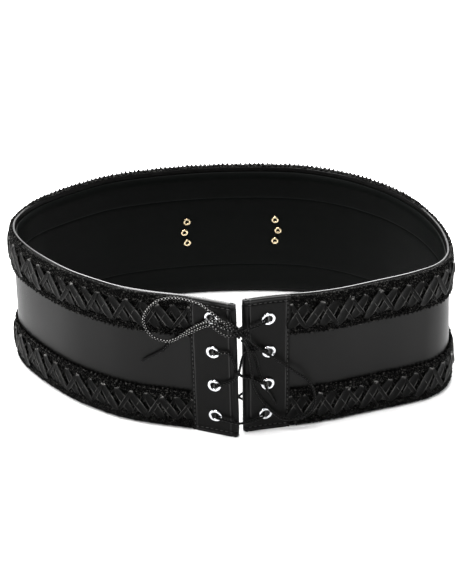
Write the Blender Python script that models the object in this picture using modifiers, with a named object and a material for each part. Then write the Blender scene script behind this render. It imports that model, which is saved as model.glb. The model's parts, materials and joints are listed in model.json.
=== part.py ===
"""A wide lace-up waist belt, standing on its lower edge as a loop.

The wall is ruled between an upper and a lower edge. Every layer of it is placed by wall(), which takes
a distance along the belt from the left lacing edge, a height above the lower edge, and how far the
point stands out from the band's outer face. The laced front faces -Y, "left" and "right" are a viewer's
who looks at that front, so right is +X, and Z = 0 is the lower edge.
"""
import math
from bisect import bisect_right
from collections import namedtuple

import bmesh
import bpy
from mathutils import Matrix, Vector

# Driving sizes of the loop, in metres
LOOP_WIDTH = 0.2880
LOOP_DEPTH = 0.1705
BELT_HEIGHT = 0.1050
FIT = 0.0003

# Layers of the wall
BAND_WALL = 0.0020
LINING_WALL = 0.0010
LINING_INSET = 0.0060
TRIM_WALL = 0.0010
TRIM_HEIGHT = 0.0295
TRIM_EDGE_SET_BACK = 0.0004
PANEL_WALL = 0.0012
PANEL_WIDTH = 0.0308
PANEL_RETURN = 0.0090
PANEL_FOLD_STEPS = 6

# Zigzag ribbons on the trims
CROSS_PITCH = 0.0100
RIBBON_WIDTH = 0.0034
RIBBON_THICKNESS = 0.0006
RIBBON_RISE = 0.0170
RIM_BRAID = 0.0070

# Eyelets
EYELET_DIAMETER = 0.0091
EYELET_BORE = 0.0050
EYELET_BARREL = 0.0062
EYELET_BACK_DIAMETER = 0.0080
EYELET_CROWN = 0.0010
EYELET_BACK = 0.0007
EYELET_SIDES = 12

# Each eyelet's height is a share of the belt's height, and its inset from the lacing edge a share of
# the panel's width
EyeletPair = namedtuple("EyeletPair", "left_height left_inset right_height right_inset")
EYELET_PAIRS = (
    EyeletPair(0.885, 0.50, 0.850, 0.53),
    EyeletPair(0.632, 0.49, 0.605, 0.54),
    EyeletPair(0.380, 0.48, 0.360, 0.51),
    EyeletPair(0.148, 0.48, 0.131, 0.47),
)

# Rivets through the back, in two groups of three on either side of its middle, a little above mid height
RIVET_CAP = 0.0062
RIVET_SHANK = 0.0032
RIVET_RING = 0.0053
RIVET_BORE = 0.0024
RIVET_CROWN = 0.0010
RIVET_BACK = 0.0006
RIVET_SIDES = 8
RIVET_SPACING = 0.0088
RIVET_STEP_OUT = 0.0020
RIVET_GROUP_RISE = 0.0015
RIVET_GROUP_HEIGHT = BELT_HEIGHT / 2 + RIVET_GROUP_RISE
RIVET_LEFT_OFFSET = 0.0330
RIVET_RIGHT_OFFSET = 0.0303

# Lace, its knot and its tips
LACE_DIAMETER = 0.0018
AGLET_DIAMETER = 0.0016
LACE_POINT_SPACING = 0.0052
LACE_SIDES = 8
KNOT_WIDTH = 0.0066
KNOT_DEPTH = 0.0058
KNOT_HEIGHT = 0.0072
KNOT_SEGMENTS = 10
KNOT_RINGS = 6

# Plan of the upper edge, from the left lacing edge round the back to the right lacing edge.
# across is a share of half the loop's width, along a share of half its depth, and flare is how far the
# lower edge stands out past the upper one, as a share of the belt's height.
Station = namedtuple("Station", "across along flare")
PLAN = (
    Station(0.007, -1.005, 0.000),
    Station(-0.099, -0.947, 0.000),
    Station(-0.209, -0.893, 0.000),
    Station(-0.363, -0.842, 0.000),
    Station(-0.497, -0.776, 0.000),
    Station(-0.603, -0.689, 0.000),
    Station(-0.735, -0.554, -0.005),
    Station(-0.853, -0.381, -0.010),
    Station(-0.942, -0.216, -0.010),
    Station(-0.999, -0.063, 0.000),
    Station(-1.022, 0.073, 0.010),
    Station(-1.010, 0.220, 0.015),
    Station(-0.942, 0.412, 0.010),
    Station(-0.837, 0.564, 0.000),
    Station(-0.729, 0.687, 0.000),
    Station(-0.612, 0.796, 0.000),
    Station(-0.474, 0.873, 0.000),
    Station(-0.334, 0.926, 0.000),
    Station(-0.160, 0.972, 0.000),
    Station(0.012, 0.991, 0.000),
    Station(0.188, 0.992, 0.000),
    Station(0.361, 0.959, 0.005),
    Station(0.531, 0.864, 0.015),
    Station(0.641, 0.761, 0.025),
    Station(0.751, 0.625, 0.040),
    Station(0.853, 0.431, 0.055),
    Station(0.916, 0.249, 0.065),
    Station(0.961, 0.044, 0.070),
    Station(0.980, -0.161, 0.065),
    Station(0.972, -0.326, 0.049),
    Station(0.925, -0.457, 0.033),
    Station(0.854, -0.539, 0.017),
    Station(0.757, -0.618, 0.003),
    Station(0.638, -0.694, -0.006),
    Station(0.473, -0.797, -0.012),
    Station(0.335, -0.853, -0.008),
    Station(0.247, -0.872, 0.000),
    Station(0.140, -0.904, 0.000),
    Station(0.039, -0.948, 0.000),
)
PLAN_STEPS = 12

# The belt's two ends hang a little askew: how far the lower edge of each slides towards the lacing
LEFT_END_LEAN = 0.0026
RIGHT_END_LEAN = -0.0010
END_LEAN_REACH = 0.1300


# Routes of the lace, chosen by hand in millimetres. The held lace runs from the knot to the upper left
# eyelet, crosses behind and in front from eyelet to eyelet, and comes back to the knot from the upper
# right one. Both loops start and end at the knot, and both tails start there and end in a tip.
KNOT_MIDDLE = (4.2, -88.0, 84.4)
LACE_ROUTE = (
    (0.6, -87.4, 86.0), (-2.5, -88.2, 87.2), (-7.0, -87.3, 88.4), (-11.8, -85.8, 90.6),
    (-13.1, -84.7, 91.9), (-12.7, -80.4, 92.5), (-11.0, -76.6, 91.8), (-9.1, -75.7, 90.1),
    (4.0, -75.0, 76.0), (17.8, -71.1, 65.7), (20.0, -72.1, 64.4), (21.5, -76.0, 63.8),
    (21.4, -80.3, 64.4), (19.8, -81.4, 65.4), (15.3, -82.2, 67.7), (10.2, -82.6, 67.2),
    (6.2, -84.3, 64.3), (4.4, -88.0, 58.5), (3.2, -89.2, 53.6), (1.4, -89.0, 49.3),
    (-2.0, -88.0, 46.0), (-9.8, -86.5, 41.9), (-11.2, -85.3, 40.8), (-10.7, -81.0, 39.8),
    (-9.2, -77.2, 38.7), (-7.4, -76.3, 36.9), (4.0, -75.0, 23.5), (16.0, -71.5, 15.8),
    (18.2, -72.5, 14.5), (19.7, -76.3, 13.8), (19.7, -80.6, 13.0), (18.1, -81.8, 12.2),
    (11.2, -82.4, 9.5), (5.6, -86.0, 10.9), (2.3, -88.3, 12.6), (-1.2, -89.0, 14.2), (-8.7, -86.8, 15.0),
    (-10.4, -85.5, 15.3), (-10.1, -81.2, 15.7), (-8.3, -77.5, 16.4), (-6.1, -76.7, 17.7),
    (4.0, -72.6, 23.5), (17.4, -71.2, 35.3), (19.4, -72.2, 36.8), (20.8, -76.1, 38.1),
    (20.8, -80.4, 38.8), (19.3, -81.5, 39.9), (11.5, -82.2, 44.9), (7.1, -82.9, 46.2),
    (4.6, -85.3, 49.5), (2.6, -86.9, 53.6), (0.9, -87.9, 58.0), (-1.0, -87.9, 64.3),
    (-3.6, -87.4, 68.5), (-10.2, -86.3, 67.2), (-11.9, -85.0, 66.7), (-11.7, -80.7, 66.6),
    (-9.9, -77.0, 67.3), (-7.7, -76.2, 68.8), (4.0, -72.6, 77.0), (17.3, -71.2, 87.0),
    (19.4, -72.2, 88.4), (20.9, -76.1, 89.0), (20.7, -80.4, 88.6), (19.1, -81.5, 87.7),
    (12.5, -83.1, 85.4), (7.1, -85.8, 84.8),
)
LEFT_LOOP_ROUTE = (
    (2.3, -89.6, 87.2), (0.6, -90.9, 89.4), (-2.5, -91.2, 91.6), (-7.0, -89.5, 94.5),
    (-10.0, -88.0, 97.0), (-14.5, -86.5, 100.0), (-20.5, -84.5, 104.0), (-28.0, -82.0, 105.5),
    (-37.0, -80.0, 106.0), (-46.5, -78.5, 103.5), (-53.5, -77.0, 96.5), (-57.0, -76.0, 87.5),
    (-55.5, -76.0, 79.5), (-50.5, -77.0, 73.5), (-41.5, -78.8, 72.0), (-32.5, -80.9, 77.5),
    (-25.5, -82.8, 82.5), (-19.5, -84.0, 86.5), (-15.0, -85.8, 89.0), (-12.0, -87.0, 88.0),
    (-9.0, -88.0, 85.5), (-4.7, -89.8, 84.0), (-1.6, -90.3, 84.1), (0.9, -89.5, 84.4),
)
LEFT_TAIL_ROUTE = (
    (2.7, -87.3, 87.9), (0.5, -87.7, 90.2), (-3.0, -88.3, 92.0), (-8.0, -87.7, 93.5),
    (-13.0, -86.9, 93.7), (-18.0, -84.7, 90.8), (-23.0, -82.0, 86.5), (-28.0, -80.05, 81.7),
    (-32.5, -78.65, 77.2), (-36.5, -77.0, 72.5), (-40.5, -75.7, 68.0), (-45.0, -75.0, 62.0),
)
RIGHT_LOOP_ROUTE = (
    (7.8, -88.2, 82.3), (9.4, -87.2, 80.0), (11.0, -85.9, 76.6), (14.6, -84.9, 72.0),
    (18.5, -84.0, 67.9), (23.0, -83.0, 63.9), (27.5, -81.3, 59.1), (32.5, -79.5, 53.7),
    (40.3, -78.6, 47.0), (47.0, -78.2, 41.3), (51.3, -77.6, 34.0), (53.1, -77.2, 26.2),
    (52.2, -77.4, 18.1), (47.9, -78.3, 12.5), (42.4, -79.0, 9.7), (36.5, -79.5, 9.0),
    (31.2, -79.8, 10.2), (27.4, -80.3, 13.7), (23.2, -81.3, 19.3), (18.9, -81.4, 25.9),
    (15.5, -82.3, 33.3), (13.1, -83.9, 40.9), (11.9, -84.7, 49.3), (10.9, -84.4, 58.0),
    (9.7, -85.4, 67.1), (7.8, -87.2, 75.6), (6.0, -89.5, 79.2), (5.3, -90.0, 80.6),
)
RIGHT_TAIL_ROUTE = (
    (5.4, -86.3, 81.2), (6.6, -84.9, 79.0), (8.3, -83.5, 75.6), (10.3, -83.3, 71.6),
    (12.0, -84.8, 67.9), (13.6, -82.9, 64.0), (15.4, -81.7, 56.7), (16.6, -81.7, 50.3),
    (18.6, -83.3, 44.6), (21.4, -83.4, 37.7),
)
LEFT_TIP = (-59.5, -71.5, 50.5)
RIGHT_TIP = (28.0, -78.8, 20.9)
MILLIMETRE = 0.001


def smooth_line(points, steps):
    """Points of a smooth curve that passes through the given points, with steps points a span."""
    points = [Vector(point) for point in points]
    ends = [2 * points[0] - points[1]] + points + [2 * points[-1] - points[-2]]
    line = []
    for before, start, end, after in zip(ends, ends[1:], ends[2:], ends[3:]):
        for step in range(steps):
            t = step / steps
            bend = (2 * before - 5 * start + 4 * end - after) * t * t
            twist = (3 * (start - end) + after - before) * t * t * t
            line.append(start + 0.5 * ((end - before) * t + bend + twist))
    line.append(points[-1])
    return line


def lengths_along(line):
    """Distance of each of the line's points from its start."""
    lengths = [0.0]
    for start, end in zip(line, line[1:]):
        lengths.append(lengths[-1] + (end - start).length)
    return lengths


def evenly_spaced(line, spacing):
    """The line's points at equal distances of about the spacing, both ends kept."""
    lengths = lengths_along(line)
    count = max(2, round(lengths[-1] / spacing))
    points = []
    for index in range(count):
        distance = lengths[-1] * index / count
        span = bisect_right(lengths, distance) - 1
        share = (distance - lengths[span]) / (lengths[span + 1] - lengths[span])
        points.append(line[span].lerp(line[span + 1], share))
    return points + [line[-1]]


def plan_line():
    """The upper edge of the band's outer face as points of X, Y and flare."""
    stations = []
    for station in PLAN:
        across = station.across * LOOP_WIDTH / 2
        along = station.along * LOOP_DEPTH / 2
        stations.append((across, along, station.flare))
    return smooth_line(stations, PLAN_STEPS)


PLAN_LINE = plan_line()
PLAN_LENGTHS = lengths_along([Vector((point.x, point.y, 0)) for point in PLAN_LINE])
BELT_LENGTH = PLAN_LENGTHS[-1]


def plan_at(distance):
    """The plan's point and flare at a distance, run on straight past both lacing edges."""
    span = min(max(bisect_right(PLAN_LENGTHS, distance) - 1, 0), len(PLAN_LINE) - 2)
    share = (distance - PLAN_LENGTHS[span]) / (PLAN_LENGTHS[span + 1] - PLAN_LENGTHS[span])
    return PLAN_LINE[span] + (PLAN_LINE[span + 1] - PLAN_LINE[span]) * share


def outward_at(distance):
    """Level unit vector that points out of the wall."""
    reach = BAND_WALL
    run = plan_at(distance + reach) - plan_at(distance - reach)
    return Vector((-run.y, run.x, 0)).normalized()


def end_lean(distance):
    """How far the lower edge has slid towards the lacing at this distance, fading away from the ends."""
    left = max(0, min(1, (END_LEAN_REACH - distance) / (END_LEAN_REACH - PANEL_WIDTH)))
    right = max(0, min(1, (END_LEAN_REACH - BELT_LENGTH + distance) / (END_LEAN_REACH - PANEL_WIDTH)))
    return LEFT_END_LEAN * left - RIGHT_END_LEAN * right


def wall(distance, height, out):
    """Point on the wall, a distance along it, a height up it and so far out from the band."""
    distance -= end_lean(distance) * (1 - height / BELT_HEIGHT)
    place = plan_at(distance)
    stand_out = out + place.z * (BELT_HEIGHT - height)
    return Vector((place.x, place.y, height)) + outward_at(distance) * stand_out


def panel_stations():
    """Distances from a lacing edge where the wall bends under a panel."""
    return [PANEL_WIDTH * share for share in (0.25, 0.5, 0.75, 1.0)]


# Layers' places, out from the band's outer face
PANEL_OUT = FIT + PANEL_WALL
TRIM_OUT = FIT + TRIM_WALL
LINING_IN = BAND_WALL + FIT + LINING_WALL
CORE_MIDDLE = -LINING_IN / 2
FOLD_RADIUS = LINING_IN / 2 + FIT + PANEL_WALL
TRIM_START = PANEL_WIDTH + FIT
TRIM_SPAN = BELT_LENGTH - 2 * TRIM_START
CROSS_COUNT = round(TRIM_SPAN / CROSS_PITCH)
TRIM_STATIONS = [TRIM_START + TRIM_SPAN * index / CROSS_COUNT for index in range(CROSS_COUNT + 1)]
LEFT_STATIONS = [FOLD_RADIUS] + panel_stations()[:-1]
RIGHT_STATIONS = [BELT_LENGTH - distance for distance in reversed(LEFT_STATIONS)]
CORE_STATIONS = LEFT_STATIONS + TRIM_STATIONS + RIGHT_STATIONS


def collection(name):
    group = bpy.data.collections.new(name)
    bpy.context.scene.collection.children.link(group)
    return group


def clear_scene():
    for item in list(bpy.data.objects):
        bpy.data.objects.remove(item, do_unlink=True)


clear_scene()
BELT = collection("waist_belt")
EYELET_CUTTERS = collection("eyelet_cutters")
RIVET_CUTTERS = collection("rivet_cutters")


def material(name, colour, roughness, metallic=0.0):
    """A plain finish with its colour, roughness and metallic value."""
    finish = bpy.data.materials.new(name)
    finish.use_nodes = True
    shader = finish.node_tree.nodes["Principled BSDF"]
    shader.inputs["Base Color"].default_value = (*colour, 1.0)
    shader.inputs["Roughness"].default_value = roughness
    shader.inputs["Metallic"].default_value = metallic
    finish.diffuse_color = (*colour, 1.0)
    return finish


LEATHER = material("band_leather", (0.020, 0.019, 0.017), 0.42)
SATIN = material("lining_satin", (0.008, 0.009, 0.008), 0.60)
CHENILLE = material("trim_chenille", (0.004, 0.004, 0.004), 0.95)
RIBBON = material("ribbon_leather", (0.030, 0.029, 0.027), 0.35)
PANEL = material("panel_leather", (0.012, 0.012, 0.011), 0.38)
CHROME = material("eyelet_chrome", (0.85, 0.86, 0.88), 0.12, 1.0)
BRASS = material("rivet_brass", (0.80, 0.62, 0.34), 0.25, 1.0)
BRAID = material("lace_braid", (0.010, 0.010, 0.010), 0.50)
AGLET = material("aglet_plastic", (0.012, 0.012, 0.012), 0.25)


def mesh_object(name, points, faces, finish, group=BELT):
    """An object made of the given points and faces."""
    mesh = bpy.data.meshes.new(name)
    mesh.from_pydata(points, [], faces)
    mesh.update()
    item = bpy.data.objects.new(name, mesh)
    group.objects.link(item)
    if finish is not None:
        mesh.materials.append(finish)
    return item


def point_out(item):
    """Turns every face of a closed mesh outwards."""
    work = bmesh.new()
    work.from_mesh(item.data)
    bmesh.ops.recalc_face_normals(work, faces=work.faces)
    work.to_mesh(item.data)
    work.free()


def thicken(item, thickness, offset):
    """Gives an open surface its wall."""
    wall_maker = item.modifiers.new("wall", "SOLIDIFY")
    wall_maker.thickness = thickness
    wall_maker.offset = offset
    wall_maker.use_even_offset = True
    return item


def cut_with(item, cutters):
    """Cuts the item with every object of a collection."""
    cut = item.modifiers.new("cut_" + cutters.name, "BOOLEAN")
    cut.operation = "DIFFERENCE"
    cut.operand_type = "COLLECTION"
    cut.collection = cutters
    cut.solver = "EXACT"


def wall_strip(name, stations, low, high, inner, outer, finish):
    """A strip of the wall: a four-sided section lofted along the stations."""
    section = ((low, inner), (low, outer), (high, outer), (high, inner))
    points = [wall(distance, height, out) for distance in stations for height, out in section]
    corners = len(section)
    faces = [tuple(range(corners)), tuple(range(len(points) - corners, len(points)))]
    for ring in range(len(stations) - 1):
        foot_in, foot_out, head_out, head_in = (ring * corners + corner for corner in range(corners))
        faces.append((foot_in, foot_out, foot_out + corners, foot_in + corners))
        faces.append((head_in, head_out, head_out + corners, head_in + corners))
        for foot, head in ((foot_in, head_in), (foot_out, head_out)):
            faces.append((foot, head, head + corners))
            faces.append((foot, head + corners, foot + corners))
    item = mesh_object(name, points, faces, finish)
    point_out(item)
    return item


def facing(distance, height):
    """Placement on the wall with +Z out of it and +Y up."""
    outward = outward_at(distance)
    up = Vector((0, 0, 1))
    turn = Matrix((up.cross(outward), up, outward)).transposed().to_4x4()
    return Matrix.Translation(wall(distance, height, 0)) @ turn


def turned(name, profile, closed, sides, finish, place):
    """A turned piece: a profile of radius and height pairs, screwed round its own axis."""
    points = [(radius, 0, height) for radius, height in profile]
    edges = [(index, index + 1) for index in range(len(points) - 1)]
    if closed:
        edges.append((len(points) - 1, 0))
    mesh = bpy.data.meshes.new(name)
    mesh.from_pydata(points, edges, [])
    mesh.materials.append(finish)
    item = bpy.data.objects.new(name, mesh)
    BELT.objects.link(item)
    screw = item.modifiers.new("turn", "SCREW")
    screw.axis = "Z"
    screw.angle = math.tau
    screw.steps = sides
    screw.render_steps = sides
    screw.use_merge_vertices = True
    screw.merge_threshold = 0.00001
    screw.use_smooth_shade = True
    item.matrix_world = place
    return item


def hole_cutter(name, radius, sides, place, group):
    """A plain rod across the wall that leaves a hole."""
    reach = 3 * FOLD_RADIUS
    bpy.ops.mesh.primitive_cylinder_add(vertices=sides, radius=radius, depth=2 * reach)
    rod = bpy.context.object
    rod.name = name
    rod.matrix_world = place
    rod.hide_render = True
    rod.display_type = "WIRE"
    for holder in list(rod.users_collection):
        holder.objects.unlink(rod)
    group.objects.link(rod)
    return rod


def eyelet_profile():
    """Half section of an eyelet: rolled rim in front, barrel through the wall, set edge behind."""
    seat = PANEL_OUT + FIT
    back_seat = -LINING_IN - FIT
    rim = EYELET_DIAMETER / 2
    bore = EYELET_BORE / 2
    barrel = EYELET_BARREL / 2
    crest = (rim + bore) / 2
    return (
        (bore, seat + EYELET_CROWN / 2),
        (crest, seat + EYELET_CROWN),
        (rim, seat),
        (barrel, seat),
        (barrel, back_seat),
        (EYELET_BACK_DIAMETER / 2, back_seat),
        (bore, back_seat - EYELET_BACK),
    )


def make_eyelets():
    """Eight eyelets, down the middle of each panel, and the rods that cut their holes."""
    for number, pair in enumerate(EYELET_PAIRS, start=1):
        left = (pair.left_inset * PANEL_WIDTH, pair.left_height)
        right = (BELT_LENGTH - pair.right_inset * PANEL_WIDTH, pair.right_height)
        for side, (distance, share) in (("left", left), ("right", right)):
            place = facing(distance, share * BELT_HEIGHT)
            name = f"eyelet_{side}_{number}"
            turned(name, eyelet_profile(), True, EYELET_SIDES, CHROME, place)
            hole = EYELET_BARREL / 2 + FIT
            hole_cutter("cut_" + name, hole, EYELET_SIDES, place, EYELET_CUTTERS)


def rivet_profile():
    """Half section of a rivet: domed cap outside, shank, and a ring-shaped set end inside."""
    cap = RIVET_CAP / 2
    shank = RIVET_SHANK / 2
    ring = RIVET_RING / 2
    bore = RIVET_BORE / 2
    back_seat = -LINING_IN - FIT
    back = back_seat - RIVET_BACK
    return (
        (0.0, FIT + RIVET_CROWN),
        (cap * 0.7, FIT + RIVET_CROWN * 0.7),
        (cap, FIT),
        (shank, FIT),
        (shank, back_seat),
        (ring, back_seat),
        (bore, back),
        (bore, back + BAND_WALL),
        (0.0, back + BAND_WALL),
    )


def back_middle():
    """Distance along the belt to the middle of its back, opposite the lacing."""
    crossings = []
    for distance, point in zip(PLAN_LENGTHS, PLAN_LINE):
        if point.y > 0:
            crossings.append((abs(point.x), distance))
    return min(crossings)[1]


def make_rivets():
    """Two groups of three rivets on the back, each group's middle one a little further out."""
    middle = back_middle()
    for side, offset in (("left", -RIVET_LEFT_OFFSET), ("right", RIVET_RIGHT_OFFSET)):
        for number in (1, 2, 3):
            step_out = RIVET_STEP_OUT if number == 2 else 0.0
            distance = middle + offset + math.copysign(step_out, offset)
            height = RIVET_GROUP_HEIGHT + (2 - number) * RIVET_SPACING
            place = facing(distance, height)
            name = f"rivet_{side}_{number}"
            turned(name, rivet_profile(), False, RIVET_SIDES, BRASS, place)
            hole = RIVET_SHANK / 2 + FIT
            hole_cutter("cut_" + name, hole, RIVET_SIDES, place, RIVET_CUTTERS)


def make_core():
    """The band and its lining, both holed for the eyelets and the rivets."""
    band = wall_strip("band", CORE_STATIONS, 0, BELT_HEIGHT, -BAND_WALL, 0, LEATHER)
    lining = wall_strip(
        "lining",
        CORE_STATIONS,
        LINING_INSET,
        BELT_HEIGHT - LINING_INSET,
        -LINING_IN,
        -BAND_WALL - FIT,
        SATIN,
    )
    for item in (band, lining):
        cut_with(item, EYELET_CUTTERS)
        cut_with(item, RIVET_CUTTERS)


def trim_edges():
    """Lower and upper height of the bottom and the top trim."""
    low = TRIM_EDGE_SET_BACK
    high = BELT_HEIGHT - TRIM_EDGE_SET_BACK
    return {"bottom": (low, low + TRIM_HEIGHT), "top": (high - TRIM_HEIGHT, high)}


def lattice_middle(place):
    """Height of the middle of a trim's row of crosses."""
    low, high = trim_edges()[place]
    inset = RIM_BRAID + RIBBON_RISE / 2
    return low + inset if place == "bottom" else high - inset


def ribbon(name, middle, out, first_way):
    """One zigzag ribbon that turns at each station, laid flat on a trim."""
    pitch = TRIM_SPAN / CROSS_COUNT
    leg = math.hypot(pitch, RIBBON_RISE)
    half_drop = RIBBON_WIDTH * leg / pitch / 2
    points = []
    for index, distance in enumerate(TRIM_STATIONS):
        way = first_way if index % 2 == 0 else -first_way
        height = middle + way * RIBBON_RISE / 2
        points.append(wall(distance, height - half_drop, out))
        points.append(wall(distance, height + half_drop, out))
    legs = len(points) // 2 - 1
    faces = [(2 * leg_at, 2 * leg_at + 1, 2 * leg_at + 3, 2 * leg_at + 2) for leg_at in range(legs)]
    item = mesh_object(name, points, faces, RIBBON)
    return thicken(item, RIBBON_THICKNESS, 1.0)


def make_trims():
    """Both trims, each with one zigzag ribbon under another."""
    under = TRIM_OUT + FIT
    over = under + RIBBON_THICKNESS + FIT
    for place, (low, high) in trim_edges().items():
        wall_strip(f"trim_{place}", TRIM_STATIONS, low, high, FIT, TRIM_OUT, CHENILLE)
        middle = lattice_middle(place)
        ribbon(f"ribbon_{place}_under", middle, under, -1)
        ribbon(f"ribbon_{place}_over", middle, over, 1)


def panel(name, start, way):
    """A panel folded round the band's end: outer face, fold at the lacing edge, and inner return."""
    path = [(distance, PANEL_OUT) for distance in reversed(panel_stations())]
    for step in range(PANEL_FOLD_STEPS + 1):
        angle = math.pi * (0.5 - step / PANEL_FOLD_STEPS)
        distance = FOLD_RADIUS - FOLD_RADIUS * math.cos(angle)
        path.append((distance, CORE_MIDDLE + FOLD_RADIUS * math.sin(angle)))
    path += [(distance, CORE_MIDDLE - FOLD_RADIUS) for distance in (panel_stations()[0], PANEL_RETURN)]
    points = []
    for distance, out in path:
        for height in (0, BELT_HEIGHT):
            points.append(wall(start + way * distance, height, out))
    faces = []
    for index in range(len(path) - 1):
        first = 2 * index
        loop = (first, first + 2, first + 3, first + 1)
        faces.append(loop if way > 0 else loop[::-1])
    item = mesh_object(name, points, faces, PANEL)
    thicken(item, PANEL_WALL, -1.0)
    cut_with(item, EYELET_CUTTERS)


def make_panels():
    panel("panel_left", 0, 1)
    panel("panel_right", BELT_LENGTH, -1)


def metres(point):
    return Vector(point) * MILLIMETRE


def tube(name, points, diameter, finish):
    """A round cord with closed ends along the given points."""
    curve = bpy.data.curves.new(name, "CURVE")
    curve.dimensions = "3D"
    curve.bevel_depth = diameter / 2
    curve.bevel_resolution = LACE_SIDES // 2 - 2
    curve.render_resolution_u = 0
    curve.use_fill_caps = True
    spline = curve.splines.new("POLY")
    spline.points.add(len(points) - 1)
    for place, point in zip(spline.points, points):
        place.co = (*point, 1)
    curve.materials.append(finish)
    item = bpy.data.objects.new(name, curve)
    BELT.objects.link(item)
    return item


def lace_run(name, route):
    """A stretch of lace on a smooth curve through its route, with long spans divided."""
    chosen = [metres(point) for point in route]
    curve = smooth_line(chosen, PLAN_STEPS)
    points = []
    for index, (start, end) in enumerate(zip(chosen, chosen[1:])):
        pieces = max(1, round((end - start).length / LACE_POINT_SPACING))
        for piece in range(pieces):
            points.append(curve[index * PLAN_STEPS + round(PLAN_STEPS * piece / pieces)])
    tube(name, points + [chosen[-1]], LACE_DIAMETER, BRAID)


def make_aglet(name, route, tip):
    """The hard straight tip of a tail."""
    start = metres(route[-1])
    end = metres(tip)
    way = (end - start).normalized()
    tube(name, [start + way * FIT, end], AGLET_DIAMETER, AGLET)


def make_knot():
    """The tight knot of the bow."""
    bpy.ops.mesh.primitive_uv_sphere_add(segments=KNOT_SEGMENTS, ring_count=KNOT_RINGS, radius=0.5)
    knot = bpy.context.object
    knot.name = "bow_knot"
    size = Matrix.Diagonal((KNOT_WIDTH, KNOT_DEPTH, KNOT_HEIGHT, 1))
    knot.data.transform(Matrix.Translation(metres(KNOT_MIDDLE)) @ size)
    knot.data.materials.append(BRAID)
    knot.data.shade_smooth()
    for holder in list(knot.users_collection):
        holder.objects.unlink(knot)
    BELT.objects.link(knot)


def make_lace():
    lace_run("lace", LACE_ROUTE)
    lace_run("bow_loop_left", LEFT_LOOP_ROUTE)
    lace_run("bow_loop_right", RIGHT_LOOP_ROUTE)
    lace_run("lace_tail_left", LEFT_TAIL_ROUTE)
    lace_run("lace_tail_right", RIGHT_TAIL_ROUTE)
    make_aglet("aglet_left", LEFT_TAIL_ROUTE, LEFT_TIP)
    make_aglet("aglet_right", RIGHT_TAIL_ROUTE, RIGHT_TIP)
    make_knot()


make_eyelets()
make_rivets()
make_core()
make_trims()
make_panels()
make_lace()
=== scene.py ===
"""Looks of a wide black lace-up waist belt that stands on its lower edge, laced and tied in a bow."""

import json
import math
from collections import namedtuple

import bmesh
import bpy
import numpy as np
from mathutils import Matrix, Vector

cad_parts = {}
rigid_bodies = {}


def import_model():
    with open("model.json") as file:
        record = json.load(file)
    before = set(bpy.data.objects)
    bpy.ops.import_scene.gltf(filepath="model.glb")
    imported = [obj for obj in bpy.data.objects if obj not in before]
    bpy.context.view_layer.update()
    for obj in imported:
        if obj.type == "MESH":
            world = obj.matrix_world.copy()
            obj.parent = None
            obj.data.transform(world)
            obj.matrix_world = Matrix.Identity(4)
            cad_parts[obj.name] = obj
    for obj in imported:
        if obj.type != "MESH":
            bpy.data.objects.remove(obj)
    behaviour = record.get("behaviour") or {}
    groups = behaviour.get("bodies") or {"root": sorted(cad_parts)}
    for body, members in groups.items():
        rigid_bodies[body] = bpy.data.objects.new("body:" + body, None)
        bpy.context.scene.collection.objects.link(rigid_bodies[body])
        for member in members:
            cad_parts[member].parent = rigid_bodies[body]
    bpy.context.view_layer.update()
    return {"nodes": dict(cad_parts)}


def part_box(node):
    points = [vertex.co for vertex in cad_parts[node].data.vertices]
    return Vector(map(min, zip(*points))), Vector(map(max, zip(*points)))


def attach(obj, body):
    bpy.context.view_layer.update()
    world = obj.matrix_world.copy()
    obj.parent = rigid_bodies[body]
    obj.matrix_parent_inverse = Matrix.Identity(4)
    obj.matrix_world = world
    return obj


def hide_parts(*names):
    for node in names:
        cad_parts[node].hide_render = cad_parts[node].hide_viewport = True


for item in list(bpy.data.objects):
    bpy.data.objects.remove(item, do_unlink=True)
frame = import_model()

# The studio: white paper under the belt, a large softbox behind it that draws the bright line along its
# upper edge, one overhead, a small one at the front left, and a pale screen on each side. The camera looks
# down on the laced front, as the photograph does.
CAMERA_TARGET = Vector((-0.0006, -0.00475, 0.0525))
CAMERA_ELEVATION = math.radians(34.69)
CAMERA_DISTANCE = 1.2353
PHOTO_HEIGHT = 581
FOCAL_LENGTH_PIXELS = 1827.6
TARGET_ROW = 300
SENSOR = 36.0
PAPER_SIZE = 6.0
PAPER_DROP = 0.0001
PAPER_TONE = 0.92
ROOM_LIGHT = 0.38


def aimed(place, target):
    """Placement at a point with -Z towards the target and Y up."""
    back = (place - target).normalized()
    return Matrix.Translation(place) @ back.to_track_quat("Z", "Y").to_matrix().to_4x4()


def softbox(name, place, target, width, height, watts):
    light = bpy.data.lights.new(name, "AREA")
    light.shape = "RECTANGLE"
    light.size = width
    light.size_y = height
    light.energy = watts
    lamp = bpy.data.objects.new(name, light)
    lamp.matrix_world = aimed(Vector(place), Vector(target))
    bpy.context.scene.collection.objects.link(lamp)


camera_lens = bpy.data.cameras.new("camera")
camera_lens.sensor_fit = "VERTICAL"
camera_lens.sensor_height = SENSOR
camera_lens.lens = SENSOR * FOCAL_LENGTH_PIXELS / PHOTO_HEIGHT
camera_lens.shift_y = (TARGET_ROW - PHOTO_HEIGHT / 2) / PHOTO_HEIGHT
camera = bpy.data.objects.new("camera", camera_lens)
camera_way = Vector((0, -math.cos(CAMERA_ELEVATION), math.sin(CAMERA_ELEVATION)))
camera.matrix_world = aimed(CAMERA_TARGET + camera_way * CAMERA_DISTANCE, CAMERA_TARGET)
bpy.context.scene.collection.objects.link(camera)
bpy.context.scene.camera = camera
bpy.context.scene.view_settings.view_transform = "Standard"

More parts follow.
